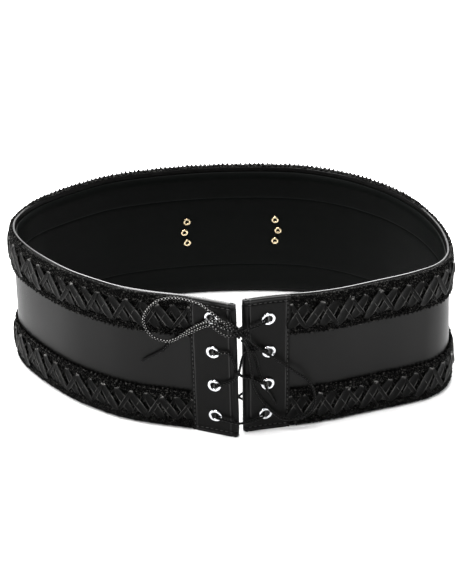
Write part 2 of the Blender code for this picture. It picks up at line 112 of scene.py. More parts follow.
softbox("back_softbox", (0, 2.4, 1.7), (0, 0, 0.05), 3.4, 1.7, 240)
softbox("top_softbox", (-0.3, 0.0, 2.0), (0, 0, 0), 1.3, 0.9, 66)
softbox("key_softbox", (-1.5, -1.9, 2.0), (0, 0, 0.05), 0.7, 0.7, 30)
softbox("left_screen", (-2.2, 0.3, 0.8), (0, 0, 0.05), 1.4, 1.6, 28)
softbox("right_screen", (2.2, 0.3, 0.8), (0, 0, 0.05), 1.4, 1.6, 28)

world = bpy.data.worlds.new("studio")
world.use_nodes = True
room = world.node_tree.nodes["Background"].inputs
room["Color"].default_value = (1.0, 1.0, 1.0, 1.0)
room["Strength"].default_value = ROOM_LIGHT
bpy.context.scene.world = world

bpy.ops.mesh.primitive_plane_add(size=PAPER_SIZE, location=(0, 0, -PAPER_DROP))
paper = bpy.context.object
paper.name = "white_paper"
paper_finish = bpy.data.materials.new("white_paper")
paper_finish.use_nodes = True
paper_sockets = paper_finish.node_tree.nodes["Principled BSDF"].inputs
paper_sockets["Base Color"].default_value = (PAPER_TONE, PAPER_TONE, PAPER_TONE, 1)
paper_sockets["Roughness"].default_value = 0.9
paper_sockets["Specular IOR Level"].default_value = 0.1
paper.data.materials.append(paper_finish)


# The lace: one round cord of black polyester that passes behind and in front from eyelet to eyelet, and its
# free ends, which are tied in a bow of two loops and two tails. It is plaited from shiny yarn round a soft
# core, so its skin has small knuckles where the yarns cross. Highlights are painted light into its colour on
# the knuckles, faintly everywhere and strongly on the left loop.
MILLIMETRE = 0.001
LACE_DIAMETER = 0.0018
LACE_SIDES = 16
LACE_STEP = 0.00035
PLAIT_PITCH = 0.0034
PLAIT_DEPTH = 0.24
YARNS = 3
KNUCKLE_PITCH = 0.0022
KNUCKLE_GLINT = (0.62, 0.96)
# The painted highlights on the knuckles are strong left of this x and above this z.
LOOP_GLINT_TO_X = (-0.012, 0.004)
LOOP_GLINT_FROM_Z = (0.067, 0.072)
START_SIDE = (0.31, 0.27, 0.91)
CORD_PATH_STRIDE = 4
LACE_ROUTE = (
    (0.6, -87.4, 86.0), (-2.5, -88.2, 87.2), (-7.0, -87.3, 88.4), (-11.8, -85.8, 90.6),
    (-13.1, -84.7, 91.9), (-12.7, -80.4, 92.5), (-11.0, -76.6, 91.8), (-9.1, -75.7, 90.1),
    (4.0, -75.0, 76.0), (17.8, -71.1, 65.7), (20.0, -72.1, 64.4), (21.5, -76.0, 63.8),
    (21.4, -80.3, 64.4), (19.8, -81.4, 65.4), (15.3, -82.2, 67.7), (10.2, -82.6, 67.2),
    (6.2, -84.3, 64.3), (4.4, -88.0, 58.5), (3.2, -89.2, 53.6), (1.4, -89.0, 49.3),
    (-2.0, -88.0, 46.0), (-9.8, -86.5, 41.9), (-11.2, -85.3, 40.8), (-10.7, -81.0, 39.8),
    (-9.2, -77.2, 38.7), (-7.4, -76.3, 36.9), (4.0, -75.0, 23.5), (16.0, -71.5, 15.8),
    (18.2, -72.5, 14.5), (19.7, -76.3, 13.8), (19.7, -80.6, 13.0), (18.1, -81.8, 12.2),
    (11.2, -82.4, 9.5), (5.6, -86.0, 10.9), (2.3, -88.3, 12.6), (-1.2, -89.0, 14.2), (-8.7, -86.8, 15.0),
    (-10.4, -85.5, 15.3), (-10.1, -81.2, 15.7), (-8.3, -77.5, 16.4), (-6.1, -76.7, 17.7),
    (4.0, -72.6, 23.5), (17.4, -71.2, 35.3), (19.4, -72.2, 36.8), (20.8, -76.1, 38.1),
    (20.8, -80.4, 38.8), (19.3, -81.5, 39.9), (11.5, -82.2, 44.9), (7.1, -82.9, 46.2),
    (4.6, -85.3, 49.5), (2.6, -86.9, 53.6), (0.9, -87.9, 58.0), (-1.0, -87.9, 64.3),
    (-3.6, -87.4, 68.5), (-10.2, -86.3, 67.2), (-11.9, -85.0, 66.7), (-11.7, -80.7, 66.6),
    (-9.9, -77.0, 67.3), (-7.7, -76.2, 68.8), (4.0, -72.6, 77.0), (17.3, -71.2, 87.0),
    (19.4, -72.2, 88.4), (20.9, -76.1, 89.0), (20.7, -80.4, 88.6), (19.1, -81.5, 87.7),
    (12.5, -83.1, 85.4), (7.1, -85.8, 84.8),
)
LEFT_LOOP_ROUTE = (
    (2.3, -89.6, 87.2), (0.6, -90.9, 89.4), (-2.5, -91.2, 91.6), (-7.0, -89.5, 94.5),
    (-10.0, -88.0, 97.0), (-14.5, -86.5, 100.0), (-20.5, -84.5, 104.0), (-28.0, -82.0, 105.5),
    (-37.0, -80.0, 106.0), (-46.5, -78.5, 103.5), (-53.5, -77.0, 96.5), (-57.0, -76.0, 87.5),
    (-55.5, -76.0, 79.5), (-50.5, -77.0, 73.5), (-41.5, -78.8, 72.0), (-32.5, -80.9, 77.5),
    (-25.5, -82.8, 82.5), (-19.5, -84.0, 86.5), (-15.0, -85.8, 89.0), (-12.0, -87.0, 88.0),
    (-9.0, -88.0, 85.5), (-4.7, -89.8, 84.0), (-1.6, -90.3, 84.1), (0.9, -89.5, 84.4),
)
LEFT_TAIL_ROUTE = (
    (2.7, -87.3, 87.9), (0.5, -87.7, 90.2), (-3.0, -88.3, 92.0), (-8.0, -87.7, 93.5),
    (-13.0, -86.9, 93.7), (-18.0, -84.7, 90.8), (-23.0, -82.0, 86.5), (-28.0, -80.05, 81.7),
    (-32.5, -78.65, 77.2), (-36.5, -77.0, 72.5), (-40.5, -75.7, 68.0), (-45.0, -75.0, 62.0),
)
RIGHT_LOOP_ROUTE = (
    (7.8, -88.2, 82.3), (9.4, -87.2, 80.0), (11.0, -85.9, 76.6), (14.6, -84.9, 72.0),
    (18.5, -84.0, 67.9), (23.0, -83.0, 63.9), (27.5, -81.3, 59.1), (32.5, -79.5, 53.7),
    (40.3, -78.6, 47.0), (47.0, -78.2, 41.3), (51.3, -77.6, 34.0), (53.1, -77.2, 26.2),
    (52.2, -77.4, 18.1), (47.9, -78.3, 12.5), (42.4, -79.0, 9.7), (36.5, -79.5, 9.0),
    (31.2, -79.8, 10.2), (27.4, -80.3, 13.7), (23.2, -81.3, 19.3), (18.9, -81.4, 25.9),
    (15.5, -82.3, 33.3), (13.1, -83.9, 40.9), (11.9, -84.7, 49.3), (10.9, -84.4, 58.0),
    (9.7, -85.4, 67.1), (7.8, -87.2, 75.6), (6.0, -89.5, 79.2), (5.3, -90.0, 80.6),
)
RIGHT_TAIL_ROUTE = (
    (5.4, -86.3, 81.2), (6.6, -84.9, 79.0), (8.3, -83.5, 75.6), (10.3, -83.3, 71.6),
    (12.0, -84.8, 67.9), (13.6, -82.9, 64.0), (15.4, -81.7, 56.7), (16.6, -81.7, 50.3),
    (18.6, -83.3, 44.6), (21.4, -83.4, 37.7),
)


class Value:
    """One value in a tree of nodes. Arithmetic on it adds the Math node that works out the result."""

    def __init__(self, tree, socket=None):
        self.tree = tree
        self.socket = socket

    def node(self, kind, settings=None, inputs=None, output=0):
        """Adds any other node: first its settings, then the values or links of its sockets."""
        made = self.tree.nodes.new(kind)
        for name, setting in (settings or {}).items():
            setattr(made, name, setting)
        for name, value in (inputs or {}).items():
            if isinstance(value, Value):
                self.tree.links.new(value.socket, made.inputs[name])
            else:
                made.inputs[name].default_value = value
        return Value(self.tree, made.outputs[output])

    def maths(self, operation, *others):
        """What a Math node makes of this value and the others."""
        return self.node("ShaderNodeMath", {"operation": operation}, dict(enumerate((self, *others))))

    def parts(self):
        """The X, Y and Z of a vector."""
        split = self.node("ShaderNodeSeparateXYZ", {}, {0: self}).socket.node
        return [Value(self.tree, output) for output in split.outputs]

    def __add__(self, other):
        return self.maths("ADD", other)

    __radd__ = __add__

    def __mul__(self, other):
        return self.maths("MULTIPLY", other)

    __rmul__ = __mul__

    def __sub__(self, other):
        return self.maths("SUBTRACT", other)

    def __rsub__(self, other):
        return self.node("ShaderNodeMath", {"operation": "SUBTRACT"}, {0: other, 1: self})

    def __pow__(self, other):
        return self.maths("POWER", other)

    def __abs__(self):
        return self.maths("ABSOLUTE")

    def between(self, low, high):
        """0 below low, 1 above high and smooth between them."""
        limits = {"Value": self, "From Min": low, "From Max": high}
        return self.node("ShaderNodeMapRange", {"interpolation_type": "SMOOTHSTEP"}, limits)

    def colour(self, dark, light):
        """The colour from dark at 0 to light at 1."""
        mix = {0: self, 6: (*dark, 1.0), 7: (*light, 1.0)}
        return self.node("ShaderNodeMix", {"data_type": "RGBA"}, mix, 2)

    def noise(self, scale, detail=3.0, roughness=0.55):
        """Noise at a scale given in waves a metre, on these coordinates."""
        inputs = {"Vector": self, "Scale": scale, "Detail": detail, "Roughness": roughness}
        return self.node("ShaderNodeTexNoise", {}, inputs, "Fac")


class Finish:
    """A material whose shader has its constants set, with the coordinates that its patterns start from."""

    def __init__(self, name, **constants):
        self.material = bpy.data.materials.new(name)
        self.material.use_nodes = True
        self.shader = self.material.node_tree.nodes["Principled BSDF"]
        for socket, value in constants.items():
            self.shader.inputs[socket.replace("_", " ")].default_value = value
        start = Value(self.material.node_tree)
        self.place = start.node("ShaderNodeTexCoord", {}, {}, "Object")
        self.surface = start.node("ShaderNodeUVMap", {"uv_map": "surface"}, {}, "UV")

    def varies(self, socket, value):
        self.material.node_tree.links.new(value.socket, self.shader.inputs[socket])

    def stretched(self, along, across):
        """The surface's own coordinates, scaled along the piece and across it."""
        scale = {"Vector": self.surface, "Scale": (along, across, 1.0)}
        return self.surface.node("ShaderNodeMapping", {}, scale, "Vector")

    def relief(self, height, depth):
        """Bumps of a depth in metres, where the height is 0 to 1."""
        inputs = {"Height": height, "Distance": depth, "Strength": 1.0}
        self.varies("Normal", height.node("ShaderNodeBump", {}, inputs, "Normal"))


def toned(name, scale, detail, dark, light, **constants):
    """A finish whose colour goes from dark to light with a noise, and that noise."""
    finish = Finish(name, **constants)
    noise = finish.place.noise(scale, detail)
    finish.varies("Base Color", noise.colour(dark, light))
    return finish, noise


def linked(name, mesh):
    piece = bpy.data.objects.new(name, mesh)
    bpy.context.scene.collection.objects.link(piece)
    return piece


def facing_out(mesh, merge=0.0):
    """Turns a closed mesh's faces outwards, once points nearer than merge to each other are made one."""
    work = bmesh.new()
    work.from_mesh(mesh)
    if merge:
        bmesh.ops.remove_doubles(work, verts=work.verts, dist=merge)
    bmesh.ops.recalc_face_normals(work, faces=work.faces)
    work.to_mesh(mesh)
    work.free()


def quads_between(corner, beside):
    """Faces between each row of corners and the next. beside has each corner's neighbour in its row."""
    return np.stack([corner[:-1], corner[1:], beside[1:], beside[:-1]], axis=-1).reshape(-1, 4)


def mesh_of(name, points, faces, *finishes):
    """A mesh of points and faces with its finishes, shaded smooth."""
    mesh = bpy.data.meshes.new(name)
    mesh.from_pydata(points.reshape(-1, 3).tolist(), [], faces)
    for finish in finishes:
        mesh.materials.append(finish.material)
    mesh.shade_smooth()
    return mesh


def lay_surface(mesh, spots):
    """Gives each corner of the mesh's faces its coordinates along the piece and across it, in metres."""
    layer = mesh.uv_layers.new(name="surface")
    layer.data.foreach_set("uv", spots.ravel())


def skin(name, grid, along, around, finish):
    """A closed piece: a ring of points for each step along it, with quads between and a fan on each end.
    along and around are the runs in metres along the piece and round its ring."""
    rows, columns, _ = grid.shape
    corner = np.arange(rows * columns).reshape(rows, columns)
    beside = np.roll(corner, -1, axis=1)
    points = np.vstack([grid.reshape(-1, 3), grid[0].mean(axis=0), grid[-1].mean(axis=0)])
    faces = quads_between(corner, beside).tolist()
    for centre, end in ((rows * columns, 0), (rows * columns + 1, -1)):
        faces += [[centre, *pair] for pair in zip(corner[end].tolist(), beside[end].tolist())]
    mesh = mesh_of(name, points, faces, finish)
    spots = np.stack(np.meshgrid(along, around, indexing="ij"), axis=-1)
    corners = np.stack([spots[:-1, :-1], spots[1:, :-1], spots[1:, 1:], spots[:-1, 1:]], axis=2)
    fans = np.zeros((6 * columns, 2))
    lay_surface(mesh, np.vstack([corners.reshape(-1, 2), fans]))
    facing_out(mesh)
    return linked(name, mesh)


def smooth_route(route, step):
    """Points in metres at even steps on a smooth curve through a route given in millimetres."""
    chosen = np.array(route) * MILLIMETRE
    ends = np.vstack([2 * chosen[0] - chosen[1], chosen, 2 * chosen[-1] - chosen[-2]])
    share = np.linspace(0, 1, 12, endpoint=False)[:, None]
    spans = []
    for before, start, end, after in zip(ends, ends[1:], ends[2:], ends[3:]):
        bend = (2 * before - 5 * start + 4 * end - after) * share**2
        twist = (3 * (start - end) + after - before) * share**3
        spans.append(start + 0.5 * ((end - before) * share + bend + twist))
    line = np.vstack(spans + [chosen[-1:]])
    return even_steps(line, step)


def run_along(line):
    """Length of the line up to each of its points."""
    return np.concatenate([[0.0], np.cumsum(np.linalg.norm(np.diff(line, axis=0), axis=1))])


def even_steps(line, step):
    run = run_along(line)
    even = np.linspace(0, run[-1], max(2, round(run[-1] / step)) + 1)
    return np.column_stack([np.interp(even, run, line[:, axis]) for axis in range(3)])


def tube(name, line, radius, sides, finish):
    """A closed tube round a line. radius gives its radius at each run along the line and angle round it."""
    ways = np.gradient(line, axis=0)
    ways /= np.linalg.norm(ways, axis=1)[:, None]
    side = np.cross(ways[0], START_SIDE)
    sideways = []
    for way in ways:
        side = side - way * side.dot(way)
        side = side / np.linalg.norm(side)
        sideways.append(side)
    sideways = np.array(sideways)
    upwards = np.cross(ways, sideways)
    angle = np.arange(sides) * math.tau / sides
    run = run_along(line)
    reach = radius(run[:, None], angle[None, :])[..., None]
    around = np.cos(angle)[:, None] * sideways[:, None, :] + np.sin(angle)[:, None] * upwards[:, None, :]
    turn = np.linspace(0, math.pi * LACE_DIAMETER, sides + 1)
    return skin(name, line[:, None, :] + reach * around, run, turn, finish)


def plaited(run, angle):
    """Radius of the lace's plaited skin: two sets of yarns that wind round it in opposite ways."""
    wind = math.tau * run / PLAIT_PITCH
    one_way = np.cos(YARNS / 2 * angle + wind) ** 2
    other_way = np.cos(YARNS / 2 * angle - wind) ** 2
    return LACE_DIAMETER / 2 * (1 - PLAIT_DEPTH + PLAIT_DEPTH * np.maximum(one_way, other_way))


def plait_knuckles(finish):
    """1 on the knuckles where the plait's yarns cross and 0 between them, from the lace's coordinates."""
    run, turn, _ = finish.surface.parts()
    onwards, around = run * (math.pi / KNUCKLE_PITCH), turn * (2 / LACE_DIAMETER)
    crossing = (onwards + around).maths("COSINE") * (onwards - around).maths("COSINE")
    return abs(crossing).between(*KNUCKLE_GLINT)


lace_finish = Finish("lace_braid", Specular_IOR_Level=0.04, Coat_Roughness=0.10)
yarn = lace_finish.stretched(2400.0, 900.0).noise(1.0, 2.0)
to_the_right, _, upwards = lace_finish.place.parts()
on_left_loop = (1.0 - to_the_right.between(*LOOP_GLINT_TO_X)) * upwards.between(*LOOP_GLINT_FROM_Z)
# Painted highlight: the knuckles' colour is made light as glints, faintly everywhere and strongly on the
# left loop.
painted_knuckle_glints = plait_knuckles(lace_finish) * yarn * (0.06 + 0.94 * on_left_loop)
lace_finish.varies("Base Color", painted_knuckle_glints.colour((0.0003, 0.0003, 0.0003), (0.88, 0.87, 0.85)))
lace_finish.varies("Roughness", 0.30 + 0.25 * yarn)
lace_finish.varies("Coat Weight", painted_knuckle_glints)
lace_finish.relief(yarn, 0.00012)


def fitted(piece, slot, *nodes):
    """Fixes a piece to the belt and hides the solids that it stands for. slot is not used."""
    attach(piece, "root")
    if nodes:
        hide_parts(*nodes)
    return piece


def lace_piece(name, route, node):
    """One stretch of lace in place of its solid."""
    line = smooth_route(route, LACE_STEP)
    piece = tube(name, line, plaited, LACE_SIDES, lace_finish)
    return fitted(piece, "lace_braid", node), line


lace_piece("plaited_lace", LACE_ROUTE, "lace")

# The aglets: the sleeves that keep the lace's two ends from fraying. Each is a tube of smooth black plastic,
# shrunk on until it is a little narrower than the lace, with a rolled collar and a rounded tip.
LEFT_TIP = (-59.5, -71.5, 50.5)
RIGHT_TIP = (28.0, -78.8, 20.9)
AGLET_RADIUS = 0.0008
AGLET_SIDES = 20
AGLET_STEP = 0.0004
COLLAR_SWELL = 0.06
COLLAR_PLACE = 0.0012
COLLAR_WIDTH = 0.0005

aglet_tones = (0.001,) * 3, (0.004,) * 3
aglet_finish, smudge = toned("aglet_plastic", 900.0, 3.0, *aglet_tones, Specular_IOR_Level=0.06)
aglet_finish.varies("Roughness", 0.15 + 0.2 * smudge)


def aglet(name, route, tip, node):
    """The sleeve over the end of a tail, straight from the end of its route to the tip."""
    line = even_steps(np.array([route[-1], tip]) * MILLIMETRE, AGLET_STEP)
    length = run_along(line)[-1]

    def sleeve(run, angle):
        rounding = np.sqrt(np.clip(1 - (1 - (length - run) / AGLET_RADIUS) ** 2, 0.02, 1))
        tapered = np.where(length - run < AGLET_RADIUS, rounding, 1.0)
        collar = COLLAR_SWELL * np.exp(-((run - COLLAR_PLACE) / COLLAR_WIDTH) ** 2)
        return AGLET_RADIUS * (tapered + collar) + 0 * angle

    return fitted(tube(name, line, sleeve, AGLET_SIDES, aglet_finish), "aglet_plastic", node)


def free_end(name, route, node):
    """A free stretch of lace that starts at the knot."""
    piece, line = lace_piece(name, route, node)
    line[::CORD_PATH_STRIDE].tolist() + [line[-1].tolist()]


left_aglet = aglet("left_aglet", LEFT_TAIL_ROUTE, LEFT_TIP, "aglet_left")
right_aglet = aglet("right_aglet", RIGHT_TAIL_ROUTE, RIGHT_TIP, "aglet_right")

# The bow's knot: the lace wound round itself and pulled tight on top of the lacing. Its turns sit side by
# side, one leans across the others, and the ends that they hold fill its middle.
KNOT_MIDDLE = np.array((4.9, -88.0, 84.3)) * MILLIMETRE
KNOT_CORE_RADIUS = 0.0021
KNOT_CORE_HALF = 0.0024
WRAP_FLATNESS = 0.62
Wrap = namedtuple("Wrap", "lean slide wide tall")
WRAPS = (
    Wrap(0.45, -0.0030, 0.0026, 0.0022),
    Wrap(0.10, -0.0013, 0.0031, 0.0029),
    Wrap(-0.20, 0.0007, 0.0033, 0.0031),
    Wrap(0.25, 0.0027, 0.0030, 0.0027),
    Wrap(-0.10, 0.0042, 0.0024, 0.0020),
    Wrap(1.25, 0.0003, 0.0025, 0.0038),
)


def knot_wrap(lean, slide, wide, tall):
    """One turn of lace round the knot: its lean, how far along the knot it sits, and its half sizes."""
    angle = np.linspace(0, math.tau, 41)
    across = wide * WRAP_FLATNESS * np.cos(angle)
    turn = np.column_stack([np.full_like(angle, slide), across, tall * np.sin(angle)])
    leaning = np.array(Matrix.Rotation(lean, 3, "Y"))
    return even_steps(KNOT_MIDDLE + turn @ leaning.T, LACE_STEP)


def core_radius(run, angle):
    """Radius of the knot's rounded middle."""
    share = np.clip(run / KNOT_CORE_HALF - 1, -1, 1)
    return KNOT_CORE_RADIUS * np.sqrt(np.clip(1.02 - share**2, 0.02, 1)) + 0 * angle


def joined(name, parts):
    """Several meshes as one piece."""
    with bpy.context.temp_override(active_object=parts[0], selected_editable_objects=parts):
        bpy.ops.object.join()
    parts[0].name = name
    parts[0].data.name = name
    return parts[0]


knot_parts = [
    tube(f"wrap_{count}", knot_wrap(*wrap), plaited, LACE_SIDES, lace_finish)
    for count, wrap in enumerate(WRAPS)
]
core_line = KNOT_MIDDLE + np.linspace(-1, 1, 13)[:, None] * np.array((0, 0, KNOT_CORE_HALF))
knot_parts.append(tube("knot_core", core_line, core_radius, LACE_SIDES, lace_finish))
knot = fitted(joined("bow_wraps", knot_parts), "lace_braid", "bow_knot")
free_end("bow_left", LEFT_LOOP_ROUTE, "bow_loop_left")
free_end("bow_right", RIGHT_LOOP_ROUTE, "bow_loop_right")
free_end("left_tail", LEFT_TAIL_ROUTE, "lace_tail_left")
free_end("right_tail", RIGHT_TAIL_ROUTE, "lace_tail_right")


# The band: one strip of smooth black faux leather about 2 mm thick, with a very fine grain, cut flat and
# bent into the loop. Its long edges are skived round, and the upper one is inked, which is glossy at the
# front and dull round the back.
BELT_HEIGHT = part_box("band")[1].z
BAND_WALL = 0.0020
PANEL_FOLD = 0.00315
EDGE_ROUNDING = 0.00085
GLOSS_REACH = 0.100
GLOSS_FADE = 0.060
WALL_STEP = 0.0025
SIDE_STEP = 0.006
SEAT_SEARCH_STEP = 0.00025
RING_TOLERANCE = 0.00002
EYELET_HOLE = 0.0033
RIVET_HOLE = 0.0018
ROD_LENGTH = 0.02


def wall_rings():
    """The band's edge loops as the frame has them: outer and inner points at its foot and at its head, from
    the left lacing edge round the back to the right one."""
    corners = np.array([vertex.co for vertex in frame["nodes"]["band"].data.vertices])
    gap_middle = (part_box("panel_left")[1].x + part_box("panel_right")[0].x) / 2
    rings = []
    for height in (0.0, BELT_HEIGHT):
        level = np.abs(corners[:, 2] - height) < RING_TOLERANCE
        ring = np.unique(np.round(corners[level], 6), axis=0)
        turn = np.mod(np.arctan2(gap_middle - ring[:, 0], -ring[:, 1]), math.tau)
        pairs = ring[np.argsort(turn)].reshape(-1, 2, 3)
        reach = np.linalg.norm(pairs[:, :, :2], axis=2)
        outer_first = np.argsort(-reach, axis=1)[:, :, None]
        rings.append(np.take_along_axis(pairs, outer_first, axis=1))
    return rings


foot_ring, head_ring = wall_rings()
RING_RUN = PANEL_FOLD + run_along(head_ring[:, 0])
BELT_LENGTH = RING_RUN[-1] + PANEL_FOLD


def on_curve(values, distance):
    """The value at each distance on a smooth curve through the rings' stations, straight past its ends."""
    slopes = np.gradient(values, RING_RUN, axis=0)
    span = np.clip(np.searchsorted(RING_RUN, distance) - 1, 0, len(RING_RUN) - 2)
    width = (RING_RUN[span + 1] - RING_RUN[span])[..., None]
    share = np.clip((distance - RING_RUN[span])[..., None] / width, 0, 1)
    past = (distance - np.clip(distance, RING_RUN[0], RING_RUN[-1]))[..., None]
    start, end = values[span], values[span + 1]
    start_slope, end_slope = slopes[span] * width, slopes[span + 1] * width
    smooth = start * (1 + 2 * share) * (1 - share) ** 2 + end * share**2 * (3 - 2 * share)
    smooth += start_slope * share * (1 - share) ** 2 - end_slope * share**2 * (1 - share)
    return smooth + past * np.where(past < 0, slopes[0], slopes[-1])


def wall(distance, height, out):
    """Points on the wall: a distance along it from the left lacing edge, a height up it, and so far out from
    the band's outer face."""
    given = [np.asarray(value, float) for value in (distance, height, out)]
    distance, height, out = np.broadcast_arrays(*given)
    edges = []
    for ring in (foot_ring, head_ring):
        outer = on_curve(ring[:, 0], distance)
        outwards = on_curve(ring[:, 0] - ring[:, 1], distance)
        outwards /= np.linalg.norm(outwards, axis=-1)[..., None]
        edges.append(outer + outwards * out[..., None])
    share = (height / BELT_HEIGHT)[..., None]
    return edges[0] * (1 - share) + edges[1] * share


def wall_ways(distance, height):
    """Unit vectors along the wall, up it and out of it."""
    nudge = 0.0005
    along = wall(distance + nudge, height, 0) - wall(distance - nudge, height, 0)
    up = wall(distance, height + nudge, 0) - wall(distance, height - nudge, 0)
    return [way / np.linalg.norm(way, axis=-1)[..., None] for way in (along, up, np.cross(up, along))]


def even_run(start, end, step):
    """Even places from start to end, about a step apart."""
    return np.linspace(start, end, max(2, round((end - start) / step)) + 1)


def round_ended(low, high, inner, outer, rounding, steps):
    """A strip's closed section as heights and outs: flat sides, and both long edges rounded."""
    arc = np.linspace(0, math.pi / 2, steps + 1)
    rising = even_run(low + rounding, high - rounding, SIDE_STEP)[1:-1]
    top, foot, face, back = high - rounding, low + rounding, outer - rounding, inner + rounding
    section = []
    for quarter, (height, out) in enumerate(((top, face), (top, back), (foot, back), (foot, face))):
        angle = quarter * math.pi / 2 + arc
        section.append((height + rounding * np.sin(angle), out + rounding * np.cos(angle)))
        if quarter == 1:
            section.append((rising[::-1], np.full_like(rising, inner)))
    section.append((rising, np.full_like(rising, outer)))
    return [np.concatenate(column) for column in zip(*section)]


def wall_strip(name, distances, heights, outs, finish):
    """A strip of the wall whose closed section is carried along it."""
    grid = wall(distances[:, None], heights[None, :], outs[None, :])
    return skin(name, grid, distances, np.append(heights, heights[0]), finish)


def hole_rods():
    """Rods through the wall where the eyelets and the rivets pass it."""
    rods = bpy.data.collections.new("hole_rods")
    for node in frame["nodes"]:
        if not node.startswith(("eyelet", "rivet")):
            continue
        radius = EYELET_HOLE if node.startswith("eyelet") else RIVET_HOLE
        size = {"radius1": radius, "radius2": radius, "depth": ROD_LENGTH}
        work = bmesh.new()
        bmesh.ops.create_cone(work, cap_ends=True, segments=32, matrix=wall_seat(node), **size)
        mesh = bpy.data.meshes.new("rod_" + node)
        work.to_mesh(mesh)
        work.free()
        rods.objects.link(bpy.data.objects.new("rod_" + node, mesh))
    return rods


def wall_seat(node):
    """Placement at a node's middle, on the band's outer face, with Z out of the wall and Y up it."""
    low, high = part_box(node)
    middle = (low + high) / 2
    tries = even_run(0, BELT_LENGTH, SEAT_SEARCH_STEP)
    spots = wall(tries, middle.z, 0)
    nearest = np.argmin(np.hypot(spots[:, 0] - middle.x, spots[:, 1] - middle.y))
    _, up, out = wall_ways(tries[nearest], middle.z)
    turn = Matrix((np.cross(up, out), up, out)).transposed().to_4x4()
    return Matrix.Translation(spots[nearest]) @ turn


def modified(piece, name, kind, **settings):
    """Adds a modifier with its settings."""
    modifier = piece.modifiers.new(name, kind)
    for setting, value in settings.items():
        setattr(modifier, setting, value)
    return modifier


def holed(piece, rods):
    """The piece as a plain mesh, with the rods cut out of it."""
    cut = {"operation": "DIFFERENCE", "operand_type": "COLLECTION", "collection": rods, "solver": "EXACT"}
    modified(piece, "holes", "BOOLEAN", **cut)
    return applied(piece)


def applied(piece):
    """The piece with its modifiers worked into its mesh."""
    graph = bpy.context.evaluated_depsgraph_get()
    mesh = bpy.data.meshes.new_from_object(piece.evaluated_get(graph))
    piece.modifiers.clear()
    piece.data = mesh
    return piece


ROUND_HOLES = hole_rods()
band_finish = Finish("band_leather", Specular_IOR_Level=0.10, Coat_Roughness=0.12)
grain = band_finish.stretched(1.0, 1.0).noise(1500.0, 4.0, 0.6)
waves = band_finish.stretched(1.0, 1.0).noise(28.0, 2.0)
band_tone = 0.6 * grain + 0.4 * waves
band_finish.varies("Base Color", band_tone.colour((0.0012, 0.0012, 0.0011), (0.0038, 0.0037, 0.0035)))
band_run, band_rise, _ = band_finish.surface.parts()
from_end = band_run.maths("MINIMUM", BELT_LENGTH - band_run)
inked = band_rise.between(BELT_HEIGHT - 1.3 * EDGE_ROUNDING, BELT_HEIGHT - 0.7 * EDGE_ROUNDING)
inked = inked * (1.0 - 0.9 * from_end.between(GLOSS_REACH, GLOSS_REACH + GLOSS_FADE))
band_finish.varies("Roughness", 0.32 + 0.10 * grain + 0.06 * waves - 0.18 * inked)
band_finish.varies("Coat Weight", inked)
band_finish.relief(0.75 * waves + 0.25 * grain, 0.00022)

BAND_END = 0.0018
band_runs = even_run(BAND_END, BELT_LENGTH - BAND_END, WALL_STEP)
band_section = round_ended(0, BELT_HEIGHT, -BAND_WALL, 0, EDGE_ROUNDING, 5)
band = wall_strip("leather_band", band_runs, *band_section, band_finish)
fitted(holed(band, ROUND_HOLES), "band_leather", "band")

# The lining: thin black satin glued inside the band, a little short of both its edges. It is stitched
# through to the trims, which leaves a shallow groove above and below its middle.
LINING_INSET = 0.0034
LINING_OUT = -0.0023
LINING_WALL = 0.0010
LINING_STEP = 0.0035
SEAM_FROM_EDGE = 0.0245
SEAM_HALF_WIDTH = 0.0006
SEAM_DEPTH = 0.00035
SEAMS = (SEAM_FROM_EDGE, BELT_HEIGHT - SEAM_FROM_EDGE)

lining_finish = Finish("lining_satin", Specular_IOR_Level=0.045)
threads = lining_finish.stretched(900.0, 5200.0).noise(1.0, 2.0)
slubs = lining_finish.stretched(18.0, 160.0).noise(1.0, 2.0)
weave = 0.5 * threads + 0.5 * slubs
lining_finish.varies("Base Color", weave.colour((0.0007, 0.0011, 0.0009), (0.0026, 0.0032, 0.0029)))
lining_finish.varies("Roughness", 0.42 + 0.16 * threads)
lining_finish.relief(weave, 0.00010)


def lining_section():
    """The lining's closed section as heights and outs: a flat back and a face pulled in at the seams."""
    low, high = LINING_INSET, BELT_HEIGHT - LINING_INSET
    nudges = np.array((-2.2, -1.1, -0.5, 0, 0.5, 1.1, 2.2)) * SEAM_HALF_WIDTH
    close = [seam + nudges for seam in SEAMS]
    inside = np.unique(np.concatenate([even_run(low + 0.0004, high - 0.0004, SIDE_STEP), *close]))[::-1]
    pulled = sum(np.exp(-((inside - seam) / SEAM_HALF_WIDTH) ** 2) for seam in SEAMS)
    outs = LINING_OUT - LINING_WALL + SEAM_DEPTH * pulled
    return np.concatenate([[low, high], inside]), np.concatenate([[LINING_OUT] * 2, outs])


lining_runs = even_run(BAND_END, BELT_LENGTH - BAND_END, LINING_STEP)
lining = wall_strip("satin_lining", lining_runs, *lining_section(), lining_finish)
fitted(holed(lining, ROUND_HOLES), "lining_satin", "lining")

# The trims: two strips of black chenille sewn along the band's edges. Each has a broad braid of soft tufts
# along the belt's edge, a narrower one with picots along its inner edge, and a ground between them for the
# ribbons. Round the back the upper trim has crept over the band's edge, with picots that stand up.
PANEL_WIDTH = 0.0308
TRIM_GAP = 0.0003
TRIM_START = PANEL_WIDTH + TRIM_GAP
TRIM_SPAN = BELT_LENGTH - 2 * TRIM_START
TRIM_OUT = 0.0013
TRIM_SWELL = 0.0005
TRIM_WIDTH = 0.0295
GROUND_WIDTH = 0.0288
GROUND_OUT = 0.0003
GROUND_ROUNDING = 0.0003
RIM_INSET = 0.0004
FOOT_INSET = 0.0009
RIM_BRAID = 0.0072
INNER_BRAID = 0.0056
TUFT_PITCH = 0.00145
ROW_PITCH = 0.00130
PICOT_PITCH = 0.0031
PICOT_ROOT = 0.0289
PICOT_REACH = 0.0011
FRONT_REACH = 0.190
BACK_REACH = 0.230
